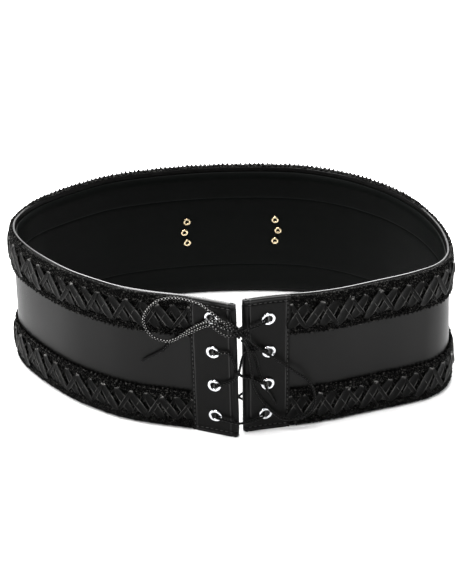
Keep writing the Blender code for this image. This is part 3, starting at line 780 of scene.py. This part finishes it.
CREEP = 0.0010
CREPT_TUFT_PITCH = 0.0010
CREPT_TUFT_SIZE = (0.9, 0.9, 0.7)
CREPT_TUFT_OUTS = (0.0006, -0.0003, -0.0012)
CREPT_TUFT_SINK = 0.0008
TOOTH_OUT = 0.0006
TOOTH_SINK = 0.0010
TEETH_PAST = 0.030
LEAST_TOOTH = 0.45
Bead = namedtuple("Bead", "rise size")
PICOT = (Bead(0.2 * PICOT_REACH, 1.35), Bead(PICOT_REACH, 0.95))
TOOTH = (Bead(0.0, 1.35), Bead(0.0011, 1.0), Bead(0.0019, 0.6))

chenille = Finish("trim_chenille", Specular_IOR_Level=0.04)
pile = chenille.place.noise(2600.0, 3.0, 0.7)
shine = chenille.place.noise(850.0, 1.0)
# Painted sheen: grey flecks in the colour stand in for highlights on the pile.
painted_sheen_flecks = (0.25 * pile + 0.75 * shine).between(0.53, 0.66)
chenille.varies("Base Color", painted_sheen_flecks.colour((0.0003, 0.0003, 0.0003), (0.048, 0.047, 0.044)))
chenille.varies("Roughness", 0.75 - 0.35 * shine)
chenille.relief(pile, 0.0003)


def knot_tree(name, sizes, shape):
    """A tree that sets one small shape on each point of a guide, turned along it and out of the wall, with a
    random change of size and turn. sizes names its number inputs, and shape makes the shape."""
    tree = bpy.data.node_groups.new(name, "GeometryNodeTree")
    tree.interface.new_socket("Guide", in_out="INPUT", socket_type="NodeSocketGeometry")
    tree.interface.new_socket("Finish", in_out="INPUT", socket_type="NodeSocketMaterial")
    for size in (*sizes, "Size spread", "Turn spread"):
        tree.interface.new_socket(size, in_out="INPUT", socket_type="NodeSocketFloat")
    tree.interface.new_socket("Seed", in_out="INPUT", socket_type="NodeSocketInt")
    tree.interface.new_socket("Pieces", in_out="OUTPUT", socket_type="NodeSocketGeometry")
    entry = tree.nodes.new("NodeGroupInput")
    given = {socket.name: Value(tree, socket) for socket in entry.outputs if socket.name}
    start = Value(tree)

    vectors = {"data_type": "FLOAT_VECTOR"}

    def named(attribute):
        return start.node("GeometryNodeInputNamedAttribute", vectors, {"Name": attribute})

    def spread_of(limit, offset):
        """A random vector for each point, between plus and minus the limit round the offset."""
        both = {0: (offset, offset, offset), 1: limit}
        low = start.node("ShaderNodeVectorMath", {"operation": "SUBTRACT"}, both)
        high = start.node("ShaderNodeVectorMath", {"operation": "ADD"}, both)
        return start.node("FunctionNodeRandomValue", vectors, {0: low, 1: high, "Seed": given["Seed"]})

    align = "FunctionNodeAlignRotationToVector"
    along = start.node(align, {"axis": "X"}, {"Vector": named("along")})
    out = {"Rotation": along, "Vector": named("out")}
    seated = start.node(align, {"axis": "Z", "pivot_axis": "X"}, out)
    turned = start.node("FunctionNodeEulerToRotation", {}, {0: spread_of(given["Turn spread"], 0.0)})
    rotation = start.node("FunctionNodeRotateRotation", {"rotation_space": "LOCAL"}, {0: seated, 1: turned})
    factors = {0: named("size"), 1: spread_of(given["Size spread"], 1.0)}
    scale = start.node("ShaderNodeVectorMath", {"operation": "MULTIPLY"}, factors)
    placing = {"Points": given["Guide"], "Rotation": rotation, "Scale": scale}
    placing["Instance"] = shape(start, given)
    spread = start.node("GeometryNodeInstanceOnPoints", {}, placing)
    whole = start.node("GeometryNodeRealizeInstances", {}, {0: spread})
    dressed = start.node("GeometryNodeSetMaterial", {}, {"Geometry": whole, "Material": given["Finish"]})
    leave = tree.nodes.new("NodeGroupOutput")
    tree.links.new(dressed.socket, leave.inputs["Pieces"])
    return tree


def spread_pieces(name, tree, rows, finish, sizes):
    """The plain mesh of small shapes that a tree makes on rows of points. Each row is its points, the ways
    along and out of the wall at them, and their sizes."""
    points, along, out, size = (np.vstack(column) for column in zip(*rows))
    mesh = mesh_of(name, points, [])
    for attribute, values in (("along", along), ("out", out), ("size", size)):
        layer = mesh.attributes.new(attribute, "FLOAT_VECTOR", "POINT")
        layer.data.foreach_set("vector", values.astype(np.float32).ravel())
    guide = linked(name, mesh)
    modifier = modified(guide, "pieces", "NODES", node_group=tree)
    settings = {"Finish": finish.material, **sizes}
    for socket in tree.interface.items_tree:
        if socket.in_out == "INPUT" and socket.name in settings:
            modifier[socket.identifier] = settings[socket.name]
    return applied(guide)


def tuft_shape(start, given):
    """A soft tuft: a round knob, longer along its row than it is wide."""
    ball = start.node("GeometryNodeMeshIcoSphere", {}, {"Radius": 0.5, "Subdivisions": 1}, "Mesh")
    sides = {0: given["Length"], 1: given["Width"], 2: given["Height"]}
    size = start.node("ShaderNodeCombineXYZ", {}, sides)
    sized = start.node("GeometryNodeTransform", {}, {"Geometry": ball, "Scale": size})
    return start.node("GeometryNodeSetShadeSmooth", {}, {0: sized})


TUFTS = knot_tree("tufts", ("Length", "Width", "Height"), tuft_shape)


def row_on_wall(distances, heights, outs, size=(1.0, 1.0, 1.0)):
    """A row of places on the wall, as spread_pieces takes them."""
    heights = np.broadcast_to(heights, distances.shape)
    along, _, out = wall_ways(distances, heights)
    return wall(distances, heights, outs), along, out, np.tile(size, (len(distances), 1))


def at_back(distances):
    """1 round the back, where the upper trim has crept over the band, and 0 at the front and the sides."""
    from_end = np.minimum(distances, BELT_LENGTH - distances)
    share = np.clip((from_end - FRONT_REACH) / (BACK_REACH - FRONT_REACH), 0, 1)
    return share * share * (3 - 2 * share)


def braid_rows(edge, way):
    """Rows of tufts for both braids of a trim, from the belt's edge inwards."""
    rows = []
    for depth, start in ((RIM_BRAID, 0.0), (INNER_BRAID, TRIM_WIDTH - INNER_BRAID)):
        count = round(depth / ROW_PITCH)
        for row in range(count):
            share = (row + 0.5) / count
            distances = even_run(TRIM_START, TRIM_START + TRIM_SPAN, TUFT_PITCH)[:-1]
            distances = distances + TUFT_PITCH * 0.5 * (row % 2)
            swell = TRIM_OUT + TRIM_SWELL * math.sin(math.pi * share)
            heights = edge + way * (start + depth * share)
            if way < 0 and start == 0.0:
                heights = heights + CREEP * at_back(distances) * (1 - share)
            rows.append(row_on_wall(distances, heights, swell))
    return rows


def picot_rows(edge, way):
    """Picots: small loops of chenille that stand out past the inner braid, each of two beads."""
    distances = even_run(TRIM_START, TRIM_START + TRIM_SPAN, PICOT_PITCH)
    root = edge + way * PICOT_ROOT
    return [row_on_wall(distances, root + way * bead.rise, TRIM_OUT, (bead.size,) * 3) for bead in PICOT]


def crept_rows():
    """Tufts that cover the band's upper edge round the back, and the picots that stand up from them."""
    rows = []
    distances = even_run(FRONT_REACH, BELT_LENGTH - FRONT_REACH, CREPT_TUFT_PITCH)
    heights = BELT_HEIGHT - CREPT_TUFT_SINK + CREEP * at_back(distances)
    for out in CREPT_TUFT_OUTS:
        rows.append(row_on_wall(distances, heights, out, CREPT_TUFT_SIZE))
    distances = even_run(FRONT_REACH - TEETH_PAST, BELT_LENGTH - FRONT_REACH + TEETH_PAST, PICOT_PITCH)
    crept = np.maximum(at_back(distances), LEAST_TOOTH)
    for bead in TOOTH:
        heights = BELT_HEIGHT - TOOTH_SINK + (CREEP + bead.rise) * crept
        rows.append(row_on_wall(distances, heights, TOOTH_OUT, (bead.size,) * 3))
    return rows


TUFT_SIZES = {
    "Length": 0.0017, "Width": 0.0013, "Height": 0.0017, "Size spread": 0.42, "Turn spread": 0.8, "Seed": 7,
}
for place, edge, way in (("top", BELT_HEIGHT - RIM_INSET, -1), ("bottom", FOOT_INSET, 1)):
    low, high = sorted((edge, edge + way * GROUND_WIDTH))
    trim_runs = even_run(TRIM_START, TRIM_START + TRIM_SPAN, WALL_STEP)
    trim_section = round_ended(low, high, GROUND_OUT, TRIM_OUT, GROUND_ROUNDING, 2)
    ground = wall_strip(f"{place}_trim_ground", trim_runs, *trim_section, chenille)
    rows = braid_rows(edge, way) + picot_rows(edge, way)
    if place == "top":
        rows += crept_rows()
    tufts = spread_pieces(f"{place}_trim_tufts", TUFTS, rows, chenille, TUFT_SIZES)
    fitted(joined(f"{place}_chenille_trim", [tufts, ground]), "trim_chenille", f"trim_{place}")

# The ribbons: flat black faux-leather lacing, two zigzags to each trim that cross in a row of X shapes. The
# legs whose tops lean away from the front lie flat and broad, and the others are drawn tight and stand half
# on edge. Their edges and upper tips have painted highlights: their colour is made light there, broken up by
# a noise.
CROSS_PITCH = 0.0100
RIBBON_RISE = 0.0170
BROAD_LEG = 0.0063
NARROW_LEG = 0.0030
RIBBON_INSET = 0.0070
UNDER_OUT = 0.0017
OVER_OUT = 0.0025
LEG_REACH = 1.10
BROAD_TILT = 0.06
NARROW_TILT = 0.32
# How light the painted highlights along the ribbons' edges and at their upper tips are, and how narrow.
EDGE_GLINT = 0.45
EDGE_SHARPNESS = 14.0
TIP_GLINT = 0.9
TIP_SHARPNESS = 30.0
LEG_SIZES = {
    "Wall": 0.0006, "Taper": 0.45, "Cup": 0.0008, "Dip": 0.0005, "Size spread": 0.09, "Turn spread": 0.06,
    "Seed": 3,
}

ribbon_finish = Finish("ribbon_leather", Specular_IOR_Level=0.05, Coat_Roughness=0.18)
glint_breakup = ribbon_finish.place.noise(420.0, 3.0)
creases = ribbon_finish.place.noise(2200.0, 2.0)
painted_edge_glint = ribbon_finish.place.node("ShaderNodeAttribute", {"attribute_name": "edge"}, {}, "Fac")
# Painted highlight: the ribbons' edges and upper tips are made light in colour, broken up by a noise.
broken_edge_glint = painted_edge_glint * glint_breakup.between(0.25, 0.70)
ribbon_finish.varies("Base Color", broken_edge_glint.colour((0.0009, 0.0009, 0.0008), (0.200, 0.197, 0.188)))
ribbon_finish.varies("Roughness", 0.34 + 0.16 * creases - 0.14 * painted_edge_glint)
ribbon_finish.varies("Coat Weight", 0.8 * painted_edge_glint)
ribbon_finish.relief(creases, 0.00018)


def leg_shape(start, given):
    """One leg of a ribbon: a flat strip with lifted edges that narrows and dips under the braids."""
    grid = {"Size": (1.0, 1.0, 1.0), "Vertices X": 21, "Vertices Y": 13, "Vertices Z": 2}
    box = start.node("GeometryNodeMeshCube", {}, grid, "Mesh")
    length, width, depth = start.node("GeometryNodeInputPosition").parts()
    ends = abs(2.0 * length) ** 3.0
    edges = abs(2.0 * width)
    narrowed = width * (1.0 - given["Taper"] * ends)
    lifted = depth * given["Wall"] + given["Cup"] * edges**2.0 * (1.0 - ends) - given["Dip"] * ends
    moved = start.node("ShaderNodeCombineXYZ", {}, {0: length, 1: narrowed, 2: lifted})
    shaped = start.node("GeometryNodeSetPosition", {}, {"Geometry": box, "Position": moved})
    tip = (2.0 * length).maths("MAXIMUM", 0.0)
    # Painted highlight mask: 1 along the leg's edges and at its upper tip, stored for the colour.
    painted_edge_glint = EDGE_GLINT * edges**EDGE_SHARPNESS + TIP_GLINT * tip**TIP_SHARPNESS
    mark = {"Geometry": shaped, "Name": "edge", "Value": painted_edge_glint.maths("MINIMUM", 1.0)}
    marked = start.node("GeometryNodeStoreNamedAttribute", {"data_type": "FLOAT", "domain": "POINT"}, mark)
    return start.node("GeometryNodeSetShadeSmooth", {}, {0: marked})


LEGS = knot_tree("ribbon_legs", ("Wall", "Taper", "Cup", "Dip"), leg_shape)


def ribbon_row(middle, out, first_way):
    """The legs of one zigzag ribbon, as a row of the middles of its crosses."""
    count = round(TRIM_SPAN / CROSS_PITCH)
    pitch = TRIM_SPAN / count
    distances = TRIM_START + pitch * (np.arange(count) + 0.5)
    heights = np.full_like(distances, middle)
    along, up, face = wall_ways(distances, heights)
    lean = np.where(np.arange(count) % 2 == 0, -first_way, first_way)[:, None]
    leg = along * lean * pitch + up * RIBBON_RISE
    across = np.cross(face, leg)
    across /= np.linalg.norm(across, axis=1)[:, None]
    leg /= np.linalg.norm(leg, axis=1)[:, None]
    broad = (lean > 0) == (distances < BELT_LENGTH / 2)[:, None]
    tilt = np.where(broad, BROAD_TILT, NARROW_TILT) * np.sign(across[:, 2:3])
    width = np.where(broad, BROAD_LEG, NARROW_LEG)
    length = math.hypot(pitch, RIBBON_RISE) * LEG_REACH
    size = np.hstack([np.full_like(width, length), width, np.ones_like(width)])
    return wall(distances, heights, out), leg, face - across * tilt, size


for place, edge, way in (("top", BELT_HEIGHT - RIM_INSET, -1), ("bottom", RIM_INSET, 1)):
    middle = edge + way * (RIBBON_INSET + RIBBON_RISE / 2)
    for layer, out, first_way in (("under", UNDER_OUT, -1), ("over", OVER_OUT, 1)):
        row = ribbon_row(middle, out, first_way)
        ribbon = spread_pieces(f"{place}_ribbon_{layer}", LEGS, [row], ribbon_finish, LEG_SIZES)
        fitted(ribbon, "ribbon_leather", f"ribbon_{place}_{layer}")

# The panels: plain smooth faux-leather facings that carry the eyelets. They are folded round the band's ends
# and sewn down. The seams are pressed in, their lines are painted darker as shade in the creases, and the
# stretched leather beside them catches the light.
PANEL_OUT = 0.0015
PANEL_WALL = 0.0012
FOLD_MIDDLE = -0.00165
PANEL_RETURN = 0.0090
PANEL_ROUNDING = 0.00045
FACE_STEP = 0.0022
RETURN_STEP = 0.0016
RISE_STEP = 0.0040
RETURN_INSET = 0.0016
STITCH_INSET = 0.0036
STITCH_PITCH = 0.0035
STITCH_SINK = 0.0001
FIRST_STITCH = 0.0045
LAST_STITCH = 0.0030
STITCH_SIZES = {
    "Length": 0.0027, "Width": 0.0007, "Height": 0.0006, "Size spread": 0.05, "Turn spread": 0.05, "Seed": 2,
}
CREASE_WIDTH = 0.0007
CREASE_DEPTH = 0.00060
OUTER_SEAM = 0.0016
LACING_SEAM = 0.0036
PRESSED = 0.78
PRESSED_TO = 0.002
PRESSED_FADE = 0.003
RIDGE_BESIDE = 0.0011

panel_finish = Finish("panel_leather", Specular_IOR_Level=0.065, Coat_Roughness=0.2)
panel_grain = panel_finish.stretched(1.0, 1.0).noise(1300.0, 4.0, 0.6)
panel_waves = panel_finish.stretched(1.0, 1.0).noise(60.0, 2.0)
panel_finish.varies("Roughness", 0.30 + 0.14 * panel_grain)
panel_finish.relief(0.7 * panel_waves + 0.3 * panel_grain, 0.00026)


def panel_lines(finish, beside):
    """1 on the lines that run at the panel's seams, so far beside them, and 0 elsewhere."""
    run, rise, _ = finish.surface.parts()
    from_edge = run.maths("MINIMUM", BELT_LENGTH - run)
    from_rim = rise.maths("MINIMUM", BELT_HEIGHT - rise)
    lacing, outer, rim = (
        1.0 - abs(away).between(0.25 * CREASE_WIDTH, 0.75 * CREASE_WIDTH)
        for away in (
            from_edge - (LACING_SEAM + beside),
            from_edge - (PANEL_WIDTH - OUTER_SEAM - beside),
            from_rim - (STITCH_INSET - 2 * beside),
        )
    )
    return rim.maths("MAXIMUM", outer.maths("MAXIMUM", lacing))


painted_crease_shade = panel_lines(panel_finish, 0.0)
ridges = panel_lines(panel_finish, RIDGE_BESIDE)
# Painted shade: the seam lines are made darker in colour, as shade in the creases.
grain_and_crease_shade = panel_grain * (1.0 - 0.9 * painted_crease_shade)
panel_finish.varies("Base Color", grain_and_crease_shade.colour((0.0004, 0.0004, 0.0004), (0.0036, 0.0035, 0.0033)))
panel_finish.varies("Coat Weight", 0.6 * ridges * panel_waves)
thread_tones = (0.0015, 0.0015, 0.0015), (0.016, 0.0157, 0.0148)
thread_finish, strands = toned("panel_thread", 4200.0, 2.0, *thread_tones, Roughness=0.45)
thread_finish.relief(strands, 0.00015)


def panel_path():
    """Distances from the lacing edge and outs along a panel: outer face, fold and inner return."""
    nudges = np.array((-1.5, -0.8, 0, 0.8, 1.5)) * CREASE_WIDTH
    close = [seam + nudges for seam in (LACING_SEAM, PANEL_WIDTH - OUTER_SEAM)]
    face = np.unique(np.concatenate([even_run(PANEL_FOLD, PANEL_WIDTH, FACE_STEP), *close]))
    face = face[(face >= PANEL_FOLD) & (face <= PANEL_WIDTH)][::-1]
    angle = np.linspace(math.pi / 2, -math.pi / 2, 15)[1:-1]
    inner = even_run(PANEL_FOLD, PANEL_RETURN, RETURN_STEP)
    distances = np.concatenate([face, PANEL_FOLD - PANEL_FOLD * np.cos(angle), inner])
    fold = FOLD_MIDDLE + PANEL_FOLD * np.sin(angle)
    ends = np.full_like(face, PANEL_OUT), np.full_like(inner, FOLD_MIDDLE - PANEL_FOLD)
    return distances, np.concatenate([ends[0], fold, ends[1]])


def creased(distances, heights):
    """Depth of the creases that the seams pull into a panel's face."""
    across = heights - STITCH_INSET, BELT_HEIGHT - STITCH_INSET - heights
    upright = distances - PANEL_WIDTH + OUTER_SEAM, distances - LACING_SEAM
    depth = sum(np.exp(-((away / CREASE_WIDTH) ** 2)) for away in across + upright)
    return CREASE_DEPTH * np.minimum(depth, 1.0)


def pressed(outs, heights):
    """Outs of a panel where it is glued down flat on the band, above and below the lining."""
    edge = np.minimum(heights, BELT_HEIGHT - heights)
    share = np.clip((LINING_INSET + PRESSED_TO - edge) / PRESSED_FADE, 0, 1)
    squeeze = 1 - (1 - PRESSED) * share * share * (3 - 2 * share)
    return PANEL_OUT - (PANEL_OUT - outs) * squeeze


def panel_facing(side, start, way):
    """A panel's leather, a bent sheet that is given its wall and its holes. Its inner return is cut a little
    shorter than its face at the top and the foot."""
    distances, outs = panel_path()
    close = [STITCH_INSET + nudge * CREASE_WIDTH for nudge in (-2, -1, -0.5, 0, 0.5, 1, 2)]
    close += [LINING_INSET + nudge for nudge in (-0.001, 0, 0.001, 0.002)]
    close += [BELT_HEIGHT - height for height in close]
    heights = np.unique(np.concatenate([even_run(0, BELT_HEIGHT, RISE_STEP), close]))
    distances, heights = np.meshgrid(distances, heights, indexing="ij")
    outs = np.broadcast_to(outs[:, None], distances.shape)
    sunk = pressed(np.where(outs > FOLD_MIDDLE, outs - creased(distances, heights), outs), heights)
    inwards = np.clip((PANEL_OUT - outs) / (2 * PANEL_FOLD), 0, 1)
    from_middle = heights - BELT_HEIGHT / 2
    heights = heights - from_middle * inwards * RETURN_INSET / (BELT_HEIGHT / 2)
    places = start + way * distances
    corner = np.arange(places.size).reshape(places.shape)
    quads = quads_between(corner[:, :-1], corner[:, 1:])
    if way < 0:
        quads = quads[:, ::-1]
    mesh = mesh_of(f"panel_{side}_facing", wall(places, heights, sunk), quads.tolist(), panel_finish)
    lay_surface(mesh, np.stack([places, heights], axis=-1).reshape(-1, 2)[quads.ravel()])
    facing = linked(mesh.name, mesh)
    modified(facing, "wall", "SOLIDIFY", thickness=PANEL_WALL, offset=-1.0)
    corners = {"limit_method": "ANGLE", "angle_limit": math.radians(50)}
    modified(facing, "rounding", "BEVEL", width=PANEL_ROUNDING, segments=3, **corners)
    facing_out(holed(facing, ROUND_HOLES).data)
    fitted(facing, "panel_leather", f"panel_{side}")


def panel_stitches(side, start, way):
    """Running stitches along a panel's top, foot and outer edge."""
    out = PANEL_OUT - STITCH_SINK
    places = start + way * even_run(FIRST_STITCH, PANEL_WIDTH - LAST_STITCH, STITCH_PITCH)
    rows = [row_on_wall(places, height, out) for height in (STITCH_INSET, BELT_HEIGHT - STITCH_INSET)]
    low = STITCH_INSET + 0.002
    heights = even_run(low, BELT_HEIGHT - low, STITCH_PITCH)
    places = np.full_like(heights, start + way * (PANEL_WIDTH - OUTER_SEAM))
    _, up, face = wall_ways(places, heights)
    rows.append((wall(places, heights, out), up, face, np.ones((len(heights), 3))))
    stitches = spread_pieces(f"panel_{side}_stitches", TUFTS, rows, thread_finish, STITCH_SIZES)
    fitted(stitches, "panel_leather")


for side, start, way in (("left", 0.0, 1), ("right", BELT_LENGTH, -1)):
    panel_facing(side, start, way)
    panel_stitches(side, start, way)

# The eyelets: eight two-part eyelets of chromed steel. The barrel passes the panel, the band and the lining,
# and both its ends are rolled over into smooth rings. The faces inside the bore get a near-black finish as
# painted shade.
EYELET_RIM = 0.00455
EYELET_BORE = 0.0025
EYELET_BARREL = 0.0031
EYELET_BACK_RIM = 0.0040
EYELET_SEAT = 0.0018
EYELET_CROWN = 0.0010
EYELET_BACK_SEAT = -0.0036
EYELET_BACK_CROWN = 0.0007
EYELET_SIDES = 48
ROLL_SQUARENESS = 0.8
MERGE_DISTANCE = 0.000002

chrome, wear = toned("eyelet_chrome", 700.0, 3.0, (0.48, 0.49, 0.51), (0.74, 0.75, 0.77), Metallic=1.0)
chrome.varies("Roughness", 0.06 + 0.12 * wear)
# Painted shade: the faces inside the bore get this near-black finish in place of the shade and dark
# reflections in it.
barrel_shade, _ = toned("eyelet_barrel", 1500.0, 2.0, (0.004,) * 3, (0.03,) * 3, Roughness=0.6, Metallic=0.7)


def turned(name, profile, seat, sides, finishes, closed=True):
    """A turned piece from a profile of radius and height pairs, on a seat of the wall."""
    angle = np.arange(sides) * math.tau / sides
    radius, height = np.array(profile).T[:, :, None]
    rings = np.stack([radius * np.cos(angle), radius * np.sin(angle), height + 0 * angle], axis=-1)
    corner = np.arange(len(profile) * sides).reshape(len(profile), sides)
    if closed:
        corner = np.vstack([corner, corner[:1]])
    quads = quads_between(corner, np.roll(corner, -1, axis=1))
    mesh = mesh_of(name, rings, quads.tolist(), *finishes)
    facing_out(mesh, MERGE_DISTANCE)
    mesh.set_sharp_from_angle(angle=math.radians(40))
    mesh.transform(seat)
    return linked(name, mesh)


def roll(outer, inner, seat, crown, steps):
    """Half a squarish ellipse from an outer radius to an inner one, over a seat."""
    angle = np.linspace(0, math.pi, steps + 1)
    swing = np.sign(np.cos(angle)) * np.abs(np.cos(angle)) ** ROLL_SQUARENESS
    radii = (outer + inner) / 2 + (outer - inner) / 2 * swing
    return np.column_stack([radii, seat + crown * np.sin(angle) ** ROLL_SQUARENESS])


def darken_bore(piece, seat, radius, below):
    """Gives a turned piece's second finish, a painted shade, to the faces inside its bore."""
    inward = seat.inverted()
    for face in piece.data.polygons:
        local = inward @ face.center
        if math.hypot(local.x, local.y) < radius and local.z < below:
            face.material_index = 1


EYELET_PROFILE = np.vstack([
    roll(EYELET_RIM, EYELET_BORE, EYELET_SEAT, EYELET_CROWN, 10),
    roll(EYELET_BACK_RIM, EYELET_BORE, EYELET_BACK_SEAT, -EYELET_BACK_CROWN, 8)[::-1],
    [(EYELET_BARREL, EYELET_BACK_SEAT), (EYELET_BARREL, EYELET_SEAT)],
])
for node in sorted(frame["nodes"]):
    if node.startswith("eyelet"):
        seat = wall_seat(node)
        eyelet = turned(f"chromed_{node}", EYELET_PROFILE, seat, EYELET_SIDES, [chrome, barrel_shade])
        darken_bore(eyelet, seat, EYELET_BORE * 1.04, EYELET_SEAT + 0.0002)
        fitted(eyelet, "eyelet_chrome", node)

# The rivets: six small tubular brass rivets through the back. A domed cap shows outside, and the tube is
# spread into a ring inside, round its bore, whose faces are painted near black as shade.
RIVET_CAP = 0.0031
RIVET_RING = 0.00265
RIVET_TUBE = 0.0012
RIVET_SHANK = 0.0016
RIVET_DOME = 0.0010
RIVET_CAP_SEAT = 0.0003
RIVET_RING_CROWN = 0.0007
RIVET_BORE_DEPTH = 0.0018
RIVET_SIDES = 32

brass, tarnish = toned("rivet_brass", 900.0, 3.0, (0.68, 0.52, 0.30), (0.92, 0.80, 0.55), Metallic=1.0)
brass.varies("Roughness", 0.14 + 0.16 * tarnish)
bore_shade_tones = (0.004, 0.003, 0.002), (0.02, 0.016, 0.01)
# Painted shade: the faces inside the rivet's bore get this near-black finish.
dark_bore, _ = toned("rivet_bore", 1500.0, 2.0, *bore_shade_tones, Roughness=0.7, Metallic=0.6)

dome_angle = np.linspace(math.pi / 2, 0, 8)
RIVET_PROFILE = np.vstack([
    np.column_stack([RIVET_CAP * np.cos(dome_angle), RIVET_CAP_SEAT + RIVET_DOME * np.sin(dome_angle)]),
    [(RIVET_SHANK, RIVET_CAP_SEAT), (RIVET_SHANK, EYELET_BACK_SEAT)],
    roll(RIVET_RING, RIVET_TUBE, EYELET_BACK_SEAT, -RIVET_RING_CROWN, 8),
    [(radius, EYELET_BACK_SEAT + RIVET_BORE_DEPTH) for radius in (RIVET_TUBE, 0.0)],
])
for node in sorted(frame["nodes"]):
    if node.startswith("rivet"):
        seat = wall_seat(node)
        rivet = turned(f"brass_{node}", RIVET_PROFILE, seat, RIVET_SIDES, [brass, dark_bore], closed=False)
        darken_bore(rivet, seat, RIVET_TUBE * 1.01, -0.001)
        fitted(rivet, "rivet_brass", node)
